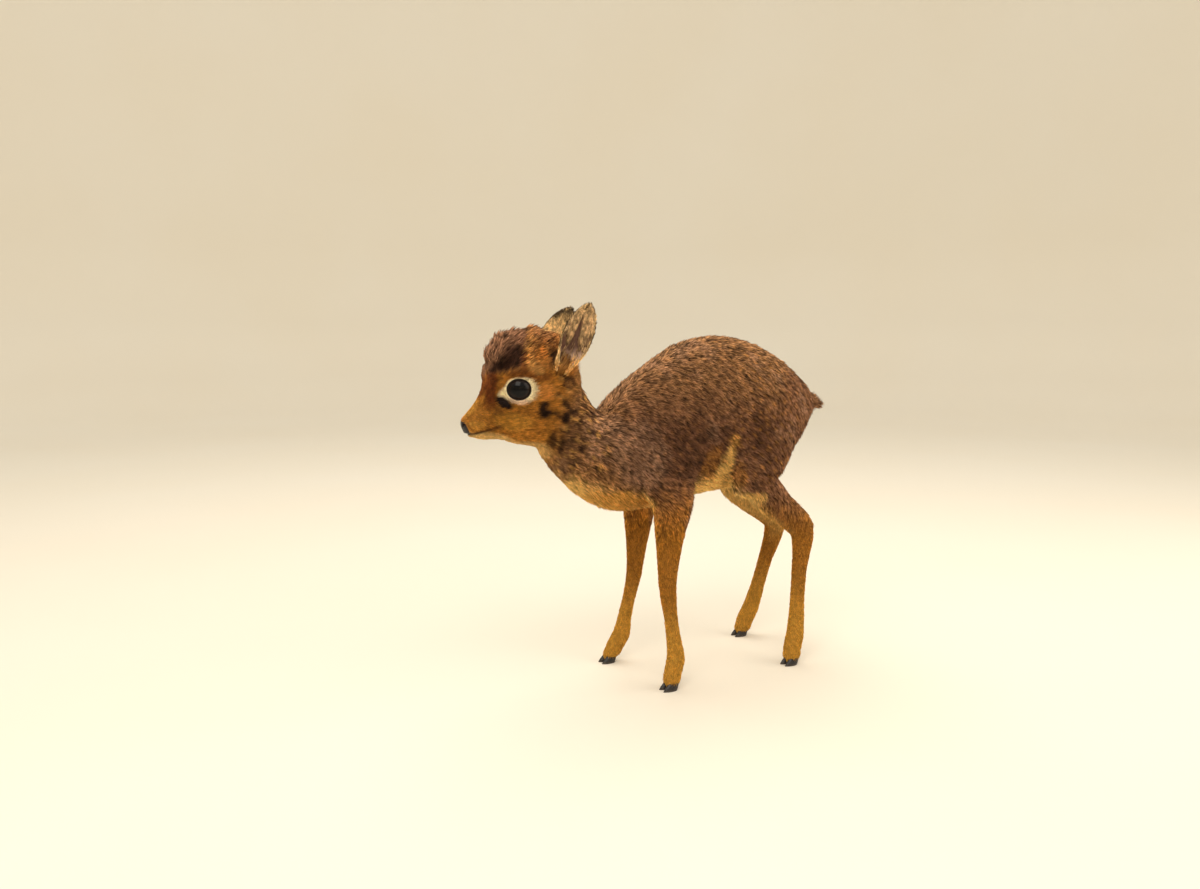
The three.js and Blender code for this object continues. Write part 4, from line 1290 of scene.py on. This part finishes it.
def add_coat_fields(mesh):
    """Stores on the skin what the coat and the materials read."""
    places, normals = places_of(mesh), normals_of(mesh)
    head, body = head_places(places), body_places(places)
    length, stand = coat_length(places)
    lie = coat_lie(places, normals)
    colour = coat_colours(places, normals, places + SHOWN_AT * lie * length[:, None])
    grizzle = (1 - 0.7 * smooth(head[:, 1], -50, -30)) * (1 - 0.8 * under(body[:, 2], 150, 110))
    grizzle = np.maximum(grizzle, 0.9 * lock_share(head))
    pale = smooth(colour[:, 0], 0.45, 0.65)
    set_attribute(mesh, "coat_colour", opaque(colour))
    set_attribute(mesh, "lie", lie)
    set_attribute(mesh, "hair_length", length)
    set_attribute(mesh, "stand", stand)
    set_attribute(mesh, "hair_width", 0.55 + 0.45 * smooth(length / MM, 3, 8))
    set_attribute(mesh, "cover", coat_cover(places))
    set_attribute(mesh, "grizzle", grizzle * (1 - 0.8 * pale))


# Borders between the regions of the coat: on the head from the eyes, the others from the body's origin.
HEAD_END = -44
HEAD_BEFORE = -60
NECK_END = -92
LEG_TOP = 150
LEGS_PART = -20
TAIL_START = 112.5
TAIL_LOW = 205


def coat_regions(mesh):
    """Name, chosen faces, axis of the unwrap, slot and kind of tufts of each coat piece."""
    centres = read(mesh.polygons, "center", 3)
    head, body = head_places(centres), body_places(centres)
    back, up = body[:, 1], body[:, 2]
    on_head = (head[:, 1] + 0.3 * head[:, 2] > HEAD_END) & (back < HEAD_BEFORE)
    crest = on_head & (lock_share(head) > 0.3)
    leg = up < LEG_TOP
    tail = (back > TAIL_START) & (up > TAIL_LOW)
    neck = ~on_head & (back < NECK_END) & ~leg
    trunk = ~(on_head | leg | tail | neck)
    regions = []
    for side, sign in SIDES.items():
        here = (body[:, 0] > 0) == (sign > 0)
        face = on_head & ~crest & ((head[:, 0] > 0) == (sign > 0))
        regions += [
            (f"coat_face_{side}", face, 1, "face_coat", "face"),
            (f"coat_trunk_{side}_front", trunk & here & (back < 0), 1, "body_coat", "trunk"),
            (f"coat_trunk_{side}_back", trunk & here & (back >= 0), 1, "body_coat", "trunk"),
            (f"coat_foreleg_{side}", leg & here & (back < LEGS_PART), 2, "leg_coat", "leg"),
            (f"coat_hindleg_{side}", leg & here & (back >= LEGS_PART), 2, "leg_coat", "leg"),
        ]
    return regions + [
        ("coat_neck", neck, 1, "body_coat", "trunk"),
        ("coat_crest", crest, 1, "face_coat", "crest"),
        ("coat_tail", tail, 1, "body_coat", "tail"),
    ]


# Kinds of tuft: their number on a square millimetre, width in millimetres, stray, clump and its noise.
TUFT_KINDS = {
    "trunk": {"shape": "short", "density": 1.68, "width": 0.62, "jitter": 0.13, "clump": 0.5, "waves": 170},
    "face": {"shape": "short", "density": 3.9, "width": 0.43, "jitter": 0.12, "clump": 0.3, "waves": 260},
    "leg": {"shape": "short", "density": 1.7, "width": 0.55, "jitter": 0.1, "clump": 0.25, "waves": 220},
    "crest": {"shape": "long", "density": 2.6, "width": 0.46, "jitter": 0.26, "clump": 0.9, "waves": 170},
    "tail": {"shape": "long", "density": 8.0, "width": 0.34, "jitter": 0.4, "clump": 0.4, "waves": 200},
    "ear": {"shape": "short", "density": 3.4, "width": 0.34, "jitter": 0.12, "clump": 0.4, "waves": 300},
}


def tuft_settings(kind, seed, share):
    """Inputs of the tuft tree for one kind of coat."""
    numbers = TUFT_KINDS[kind]
    return {
        "Density": numbers["density"] * share / MM**2,
        "Width": numbers["width"] * MM,
        "Jitter": numbers["jitter"],
        "Clump": numbers["clump"],
        "Clump scale": float(numbers["waves"]),
        "Seed": seed,
    }


def tuft_object(shape):
    """Pattern object of a tuft, made once."""
    name = f"tuft_{shape}"
    return bpy.data.objects.get(name) or new_object(name, tuft_mesh(name, TUFTS[shape]))


# Ears: their cells and growth in millimetres, the rounds of smoothing, and the rows along them.
EAR_CELL = 0.55
EAR_GROWTH = 0.05
EAR_ROUNDS = 12
EAR_ROWS = 40

# Their feet are sunk this far into the head, towards a place in the head's axes.
EAR_SINK = 2.4
EAR_SINK_TO = np.array([0, -22.0, 4.0])


def rim_gap(places, inside):
    """Distance in millimetres of each place on an ear from the rim of its cup."""
    rim = places[np.abs(inside) < 0.12]
    gaps = [np.linalg.norm(rim - place, axis=1).min() for place in places]
    return np.array(gaps) / MM


def ear_axis(places, height):
    """Way from each place on an ear to the middle of its row."""
    rows = np.clip((height * EAR_ROWS).astype(int), 0, EAR_ROWS - 1)
    count = np.maximum(np.bincount(rows, minlength=EAR_ROWS), 1)
    sums = [np.bincount(rows, places[:, k], EAR_ROWS) / count for k in range(3)]
    axis = np.stack([np.convolve(np.pad(s, 2, "edge"), np.ones(5) / 5, "valid") for s in sums], 1)
    to_axis = axis[rows] - places
    to_axis[:, 2] = 0
    return to_axis


def ear_fields(mesh):
    """Colour of an ear's bare skin, and the fields of its hair, inside and outside its cup."""
    places, normals = places_of(mesh), normals_of(mesh)
    low, high = places.min(0), places.max(0)
    height = (places[:, 2] - low[2]) / (high[2] - low[2])
    to_axis = ear_axis(places, height)
    inside = np.sum(unit(to_axis) * normals, 1)
    inner = smooth(inside, 0.0, 0.5)
    body = body_places(places)

    outer_colour = np.tile(TINT["ear_back"], (len(places), 1))
    gap = rim_gap(places, inside)
    width = 0.2 + 0.9 * height
    dark = (1 - smooth(gap - width, 0, 0.7)) * (1 - smooth(inside, -0.3, -0.12)) * smooth(height, 0.12, 0.4)
    outer_colour = mix(outer_colour, "ear_edge", 0.95 * dark)
    inner_colour = np.tile(TINT["ear_skin"], (len(places), 1))
    inner_colour = mix(inner_colour, "ear_base", 1 - smooth(height, 0.16, 0.42))
    turn = np.arctan2(to_axis[:, 1], to_axis[:, 0])
    streaks = smooth(np.sin(turn * 6 + 1.2 * ripple(body, 14, 9) + height * 2), 0.35, 0.9)
    rim = smooth(inside, -0.15, 0.05) * (1 - smooth(inside, 0.3, 0.5))
    patch = inner * smooth(height, 0.3, 0.5) * (1 - smooth(height, 0.78, 0.9))
    patch = patch * smooth(ripple(body, 9, 21), 0.0, 0.45)
    pale = np.maximum(rim, smooth(height, 0.8, 0.92) * smooth(inside, -0.2, 0.0))
    deep = inner * smooth(gap, 1.5, 4.5) * smooth(height, 0.1, 0.3) * (1 - smooth(height, 0.7, 0.88))
    streaks = np.maximum(streaks * (1 - 0.8 * deep), pale)
    skin = outer_colour + (inner_colour - outer_colour) * inner[:, None]
    hair = mix(outer_colour, "ear_skin", inner * (1 - streaks))
    hair = mix(hair, "ear_hair", np.maximum(inner * 0.9 * streaks, 0.75 * pale))
    hair = mix(hair, "ear_skin", 0.75 * patch)
    hair = mix(hair, "temple", 0.7 * (1 - smooth(height, 0.06, 0.26)))
    length = 2.6 + 3.2 * inner * (1 - 0.5 * height)
    even = np.ones(len(places))
    return opaque(skin), {
        "coat_colour": opaque(hair),
        "lie": unit(laid(np.array([0, 0.25, 1.0]), normals)),
        "hair_length": length * MM,
        "stand": 0.2 + 0.1 * inner,
        "hair_width": even,
        "cover": 1 - inner * (1 - 0.9 * streaks * smooth(height, 0.04, 0.2)),
        "grizzle": 0.4 * even,
    }


def make_ear(name):
    """Fine closed ear in the place of the solid one."""
    work = bmesh.new()
    merged_node(work, f"ear_{name}", EAR_GROWTH)
    mesh = remeshed(f"ear_{name}_skin", mesh_of(work, f"ear_{name}_skin"), EAR_CELL)
    places = relaxed(places_of(mesh), edges_of(mesh), EAR_ROUNDS)
    root, tip = EAR_LINES[name]
    low = np.clip((places - root) @ (tip - root) / np.sum((tip - root) ** 2), -0.3, 1)
    sunk = EAR_SINK * MM * (1 - smooth(low, -0.12, 0.22))
    move_to(mesh, places + sunk[:, None] * unit(from_head(EAR_SINK_TO) - root))
    shade_smooth(mesh)
    return mesh


# Small round forms: half sizes of the lid's rim, and length, radius and bend of lashes and whiskers.
RIM_HALF = (0.62, 0.42)
LASH_LENGTH = (2.2, 3.4)
LASH_RADIUS = 0.11
LASH_CURL = (0.1, 0.4)
WHISKER_LENGTH = (7, 11)
WHISKER_RADIUS = 0.085
WHISKER_SAG = -0.14
WHISKER_ROOT = 0.3


def bands(first, sides, rows):
    """Faces between rows of places that each run once round."""
    faces = []
    for row in range(rows - 1):
        a, b = first + row * sides, first + (row + 1) * sides
        for k in range(sides):
            n = (k + 1) % sides
            faces.append((a + k, b + k, b + n, a + n))
    return faces


def tube(points, radii, sides):
    """Closed tube along points as (places, faces)."""
    points = np.asarray(points, float)
    ways = unit(np.gradient(points, axis=0))
    aside = unit(np.cross(ways, (0.31, 0.27, 0.91)))
    over = np.cross(ways, aside)
    places = []
    for k, (point, radius) in enumerate(zip(points, radii)):
        for j in range(sides):
            a = 2 * math.pi * j / sides
            places.append(point + radius * (math.cos(a) * aside[k] + math.sin(a) * over[k]))
    last = (len(points) - 1) * sides
    faces = bands(0, sides, len(points))
    faces += [tuple(range(sides)), tuple(last + j for j in reversed(range(sides)))]
    return places, faces


def strand(root, way, length, sag, radius, taper, steps, sides):
    """Tapered hair as a tube that bends up or down by a share of its length towards its tip."""
    steps = np.linspace(0, 1, steps)
    points = [root + way * length * t + np.array([0, 0, sag * length * t * t]) for t in steps]
    return tube(points, [radius * MM * (taper - t) for t in steps], sides)


def joined(name, parts):
    """Mesh of several (places, faces)."""
    places, faces = [], []
    for some, ways in parts:
        start = len(places)
        places += list(some)
        faces += [tuple(start + k for k in face) for face in ways]
    return mesh_from(name, places, faces)


def lid_edge(name, count, lift=0.0):
    """Closed line along the opening of the lids, on the eye."""
    centre, axes = eye_frame(name)
    radius = EYE_RADIUS / MM + LID_EDGE * 0.5 + lift
    line = []
    for k in range(count):
        a = 2 * math.pi * k / count
        across, up = OPENING_HALF * math.cos(a), OPENING_HEIGHT * math.sin(a)
        out = math.sqrt(max(radius**2 - across**2 - up**2, 1.0))
        line.append(centre + unit(np.array([out, across, up])) * radius * MM @ axes)
    return line


def make_rim(name):
    """Ring of dark skin along the lid margin."""
    count, sides = 72, 8
    line = np.array(lid_edge(name, count))
    centre, _ = eye_frame(name)
    places, faces = [], []
    for k in range(count):
        way = unit(line[(k + 1) % count] - line[k - 1])
        out = unit(line[k] - centre)
        aside = np.cross(way, out)
        for j in range(sides):
            a = 2 * math.pi * j / sides
            away = RIM_HALF[0] * math.cos(a) * aside + RIM_HALF[1] * math.sin(a) * out
            places.append(line[k] + away * MM)
            n, m = (k + 1) % count, (j + 1) % sides
            faces.append((k * sides + j, k * sides + m, n * sides + m, n * sides + j))
    return mesh_from(f"lid_rim_{name}", places, faces)


def make_lashes(name):
    """Short dark lashes along the upper lid."""
    centre, axes = eye_frame(name)
    random = np.random.default_rng(21)
    line = lid_edge(name, 60, 0.35)
    parts = []
    for k in range(4, 27):
        out = unit(line[k] - centre)
        length = random.uniform(*LASH_LENGTH) * MM
        curl = random.uniform(*LASH_CURL)
        aside = random.normal(0, 0.12) * axes[1]
        way = unit(out + 0.45 * axes[2] + aside)
        parts.append(strand(line[k], way, length, curl, LASH_RADIUS, 1.05, 5, 4))
    return joined(f"lashes_{name}", parts)


def make_eye(name):
    """Smooth eyeball. Its places know how far they are from the middle of the pupil."""
    centre, axes = eye_frame(name)
    rows, columns = 36, 48
    places, shares = [axes[0]], [0.0]
    for i in range(1, rows):
        a = math.pi * i / rows
        for j in range(columns):
            b = 2 * math.pi * j / columns
            spot = np.array([math.cos(a), math.sin(a) * math.cos(b), math.sin(a) * math.sin(b)])
            places.append(spot @ axes)
            shares.append(math.hypot(spot[1], spot[2] * 1.12) if spot[0] > 0 else 1.0)
    places.append(-axes[0])
    shares.append(1.0)
    faces = [(0, 1 + j, 1 + (j + 1) % columns) for j in range(columns)]
    faces += bands(1, columns, rows - 1)
    last = len(places) - 1
    faces += [(last - columns + (j + 1) % columns, last - columns + j, last) for j in range(columns)]
    places = centre + np.array(places) * EYE_RADIUS
    mesh = mesh_from(f"eye_{name}_ball", places, faces)
    set_attribute(mesh, "from_pupil", np.array(shares))
    return mesh


def make_whiskers(surface, name):
    """Fine whiskers on one side of the muzzle."""
    random = np.random.default_rng(31)
    out = SIDES[name] * HEAD_SIDE
    parts = []
    for row in range(3):
        for k in range(4):
            start = from_head((SIDES[name] * 14, 34 - 4.2 * k - row, -19 - 3.6 * row + 0.8 * k))
            hit = surface.ray_cast(Vector(start), Vector(-out))
            if hit[0] is None:
                continue
            down = np.array([0, 0, -0.25 - 0.1 * row])
            way = unit(0.62 * out - 0.5 * HEAD_AHEAD + down + random.normal(0, 0.08, 3))
            length = random.uniform(*WHISKER_LENGTH) * MM
            root = np.array(hit[0]) - WHISKER_ROOT * MM * out
            parts.append(strand(root, way, length, WHISKER_SAG, WHISKER_RADIUS, 1.08, 6, 3))
    return joined(f"whiskers_{name}", parts)


def make_nose_pad(skin):
    """Bare pad cut from the skin at the nose, a little proud of it and closed behind."""
    work = bmesh.new()
    work.from_mesh(skin)
    wanted = nose_share(head_places(places_of(skin))) > 0.5
    work.verts.ensure_lookup_table()
    gone = [f for f in work.faces if not all(wanted[v.index] for v in f.verts)]
    bmesh.ops.delete(work, geom=gone, context="FACES")
    work.normal_update()
    for vert, normal in [(v, v.normal.copy()) for v in work.verts]:
        edge = any(e.is_boundary for e in vert.link_edges)
        vert.co += normal * (PAD_EDGE if edge else PAD_PROUD) * MM
    rim = [e for e in work.edges if e.is_boundary]
    grown = bmesh.ops.extrude_edge_only(work, edges=rim)
    inner = [v for v in grown["geom"] if isinstance(v, bmesh.types.BMVert)]
    back = Vector(HEAD_AHEAD) * -PAD_THICKNESS * MM
    for vert in inner:
        vert.co += back
    bmesh.ops.holes_fill(work, edges=[e for e in work.edges if e.is_boundary], sides=0)
    bmesh.ops.triangulate(work, faces=[f for f in work.faces if len(f.verts) > 4])
    bmesh.ops.recalc_face_normals(work, faces=work.faces)
    mesh = mesh_of(work, "nose_pad")
    shade_smooth(mesh)
    return mesh


# The stage: the floor's reach and height in metres, the lights, and the middle of what they show.
SWEEP = [(0.0, 0.0), (1.0, 0.0), (2.2, 0.0), (2.5, 0.03), (2.75, 0.13), (2.92, 0.32), (3.0, 0.6), (3.0, 1.6)]
SWEEP_SIDES = 96
STAGE_MIDDLE = (0, -0.03, 0.17)
DAYLIGHT = 0.95

# Place from there, size in metres and power of each light.
LIGHTS = {
    "key": ((0.75, -0.65, 1.15), 0.9, 9.5),
    "fill": ((0.7, 0.9, 0.6), 1.0, 5.0),
    "top": ((-0.5, 0.1, 1.3), 0.9, 7.0),
}


def sweep_mesh():
    """Round pale floor whose edge rises into a wall."""
    places = [(0.0, 0.0, 0.0)]
    for reach, height in SWEEP[1:]:
        for k in range(SWEEP_SIDES):
            a = 2 * math.pi * k / SWEEP_SIDES
            places.append((reach * math.cos(a), reach * math.sin(a), height))
    faces = [(0, 1 + k, 1 + (k + 1) % SWEEP_SIDES) for k in range(SWEEP_SIDES)]
    faces += bands(1, SWEEP_SIDES, len(SWEEP) - 1)
    mesh = bpy.data.meshes.new("floor")
    mesh.from_pydata(places, [], faces)
    shade_smooth(mesh)
    return mesh


# Add-on layout.
class CalfSettings(bpy.types.PropertyGroup):
    """Settings of the calf's skin and coat."""

    skin_cell: FloatProperty(
        name="Skin cell",
        description="Size of the cells that the skin is remeshed from, in millimetres",
        default=SKIN_CELL,
        min=0.5,
        max=4.0,
    )
    coat_share: FloatProperty(
        name="Coat share",
        description="Share of the tufts that are grown",
        default=1.0,
        min=0.0,
        max=1.0,
        subtype="FACTOR",
    )
    seed: IntProperty(name="Seed", description="Seed of the scattered tufts", default=3)


class CALF_OT_skin(bpy.types.Operator):
    """Make the skin over the flesh"""

    bl_idname = "calf.skin"
    bl_label = "Skin"

    def execute(self, context):
        mesh = make_skin(context.scene.calf.skin_cell)
        if len(mesh.polygons) < FEWEST_FACES:
            raise RuntimeError("the skin came out empty")
        add_coat_fields(mesh)
        piece("skin", mesh, skin_material(), "body_coat", *[n for n in FLESH if n != "nose"])
        return {"FINISHED"}


class CALF_OT_nose(bpy.types.Operator):
    """Make the bare nose pad"""

    bl_idname = "calf.nose"
    bl_label = "Nose"

    def execute(self, context):
        mesh = make_nose_pad(bpy.data.objects["skin"].data)
        piece("nose_pad", mesh, nose_material(), "nose", "nose")
        return {"FINISHED"}


class CALF_OT_eyes(bpy.types.Operator):
    """Make the eyes with their lid margins and lashes"""

    bl_idname = "calf.eyes"
    bl_label = "Eyes"

    def execute(self, context):
        eye = eye_material()
        rim, _ = mottled("lid_rim", "rim", 0.4, 0.5, 900, (0.3, 0.7))
        hair, _ = mottled("whisker", "whisker", 0.4, 0.4, 700)
        for name in SIDES:
            piece(f"eye_{name}_ball", make_eye(name), eye, "eye", f"eye_{name}")
            piece(f"lid_rim_{name}", make_rim(name), rim.material, "nose")
            piece(f"lashes_{name}", make_lashes(name), hair.material, "face_coat")
        return {"FINISHED"}


class CALF_OT_ears(bpy.types.Operator):
    """Make the ears and their hair"""

    bl_idname = "calf.ears"
    bl_label = "Ears"

    def execute(self, context):
        settings = context.scene.calf
        material = ear_material()
        for name in SIDES:
            mesh = make_ear(name)
            source = mesh.copy()
            colour, fields = ear_fields(mesh)
            set_attribute(mesh, "coat_colour", colour)
            for key, values in fields.items():
                set_attribute(source, key, values)
            piece(f"ear_{name}_skin", mesh, material, "ear", f"ear_{name}")
            patch = skin_patch(f"coat_ear_{name}", source, np.ones(len(source.polygons), bool), 2)
            values = tuft_settings("ear", settings.seed, settings.coat_share)
            finished(grow_tufts(f"coat_ear_{name}", patch, tuft_object("short"), values), "ear")
            bpy.data.meshes.remove(source)
        return {"FINISHED"}


class CALF_OT_hooves(bpy.types.Operator):
    """Make the hooves"""

    bl_idname = "calf.hooves"
    bl_label = "Hooves"

    def execute(self, context):
        material = horn_material()
        for node in HOOVES:
            work = bmesh.new()
            merged_node(work, node, 0.0)
            mesh = mesh_of(work, f"{node}_horn")
            shade_smooth(mesh)
            made = piece(f"{node}_horn", mesh, material, "hoof", node)
            bevel = made.modifiers.new("worn edges", "BEVEL")
            bevel.width = HOOF_WEAR * MM
            bevel.segments = 2
            bevel.angle_limit = math.radians(HOOF_EDGE_ANGLE)
        return {"FINISHED"}


class CALF_OT_whiskers(bpy.types.Operator):
    """Make the whiskers"""

    bl_idname = "calf.whiskers"
    bl_label = "Whiskers"

    def execute(self, context):
        skin = bpy.data.objects["skin"].data
        faces = [tuple(p.vertices) for p in skin.polygons]
        surface = BVHTree.FromPolygons([tuple(v.co) for v in skin.vertices], faces)
        for name in SIDES:
            hairs = make_whiskers(surface, name)
            piece(f"whiskers_{name}", hairs, bpy.data.materials["whisker"], "face_coat")
        return {"FINISHED"}


class CALF_OT_coat(bpy.types.Operator):
    """Grow the coat of tufts over the skin"""

    bl_idname = "calf.coat"
    bl_label = "Coat"

    def execute(self, context):
        settings = context.scene.calf
        skin = bpy.data.objects["skin"].data
        for number, (name, chosen, axis, slot, kind) in enumerate(coat_regions(skin)):
            if not chosen.any():
                raise RuntimeError(f"{name} covers no skin")
            patch = skin_patch(name, skin, chosen, axis)
            values = tuft_settings(kind, settings.seed + number, settings.coat_share)
            finished(grow_tufts(name, patch, tuft_object(TUFT_KINDS[kind]["shape"]), values), slot)
        for shape in TUFTS:
            bpy.data.objects.remove(tuft_object(shape))
        return {"FINISHED"}


class CALF_OT_stage(bpy.types.Operator):
    """Set the floor, the lights and the camera"""

    bl_idname = "calf.stage"
    bl_label = "Stage"

    def execute(self, context):
        scene = context.scene
        floor = new_object("floor", sweep_mesh())
        paper, _ = mottled("floor_paper", "floor", 0.8, 0.2, 2)
        floor.data.materials.append(paper.material)
        world = bpy.data.worlds.new("studio")
        world.use_nodes = True
        colour, strength = world.node_tree.nodes["Background"].inputs[:2]
        colour.default_value = paint("daylight")
        strength.default_value = DAYLIGHT
        scene.world = world
        target = Vector(BODY_ORIGIN) + Vector(STAGE_MIDDLE)
        for name, (place, size, power) in LIGHTS.items():
            light = bpy.data.lights.new(name, "AREA")
            light.size = size
            light.energy = power
            light.color = paint("lamp")[:3]
            lamp = new_object(name, light)
            lamp.location = target + Vector(place)
            lamp.rotation_euler = (target - lamp.location).to_track_quat("-Z", "Y").to_euler()
        camera = bpy.data.cameras.new("camera")
        camera.lens = CAMERA_LENS
        camera.sensor_width = CAMERA_SENSOR
        camera.clip_start = CAMERA_NEAR
        seat = new_object("camera", camera)
        seat.location = Vector(BODY_ORIGIN) + Vector(CAMERA_PLACE) * MM
        seat.rotation_euler = (math.radians(CAMERA_TILT), 0, math.radians(CAMERA_TURN))
        scene.camera = seat
        scene.view_settings.view_transform = "Standard"
        return {"FINISHED"}


class CALF_PT_panel(bpy.types.Panel):
    """Buttons that dress the calf"""

    bl_idname = "CALF_PT_panel"
    bl_label = "Calf"
    bl_space_type = "VIEW_3D"
    bl_region_type = "UI"
    bl_category = "Calf"

    def draw(self, context):
        layout = self.layout
        for name in ("skin_cell", "coat_share", "seed"):
            layout.prop(context.scene.calf, name)
        for name in PIECES:
            layout.operator(f"calf.{name}")


PIECES = ["skin", "nose", "eyes", "hooves", "whiskers", "ears", "coat", "stage"]

CLASSES = (
    CalfSettings,
    CALF_OT_skin,
    CALF_OT_nose,
    CALF_OT_eyes,
    CALF_OT_ears,
    CALF_OT_hooves,
    CALF_OT_whiskers,
    CALF_OT_coat,
    CALF_OT_stage,
    CALF_PT_panel,
)


def register():
    """Registers the add-on's classes and its settings."""
    for kind in CLASSES:
        bpy.utils.register_class(kind)
    bpy.types.Scene.calf = PointerProperty(type=CalfSettings)


def unregister():
    """Takes them away again."""
    del bpy.types.Scene.calf
    for kind in reversed(CLASSES):
        bpy.utils.unregister_class(kind)


def main():
    """Makes every piece."""
    register()
    for name in PIECES:
        getattr(bpy.ops.calf, name)()


if __name__ == "__main__":
    main()
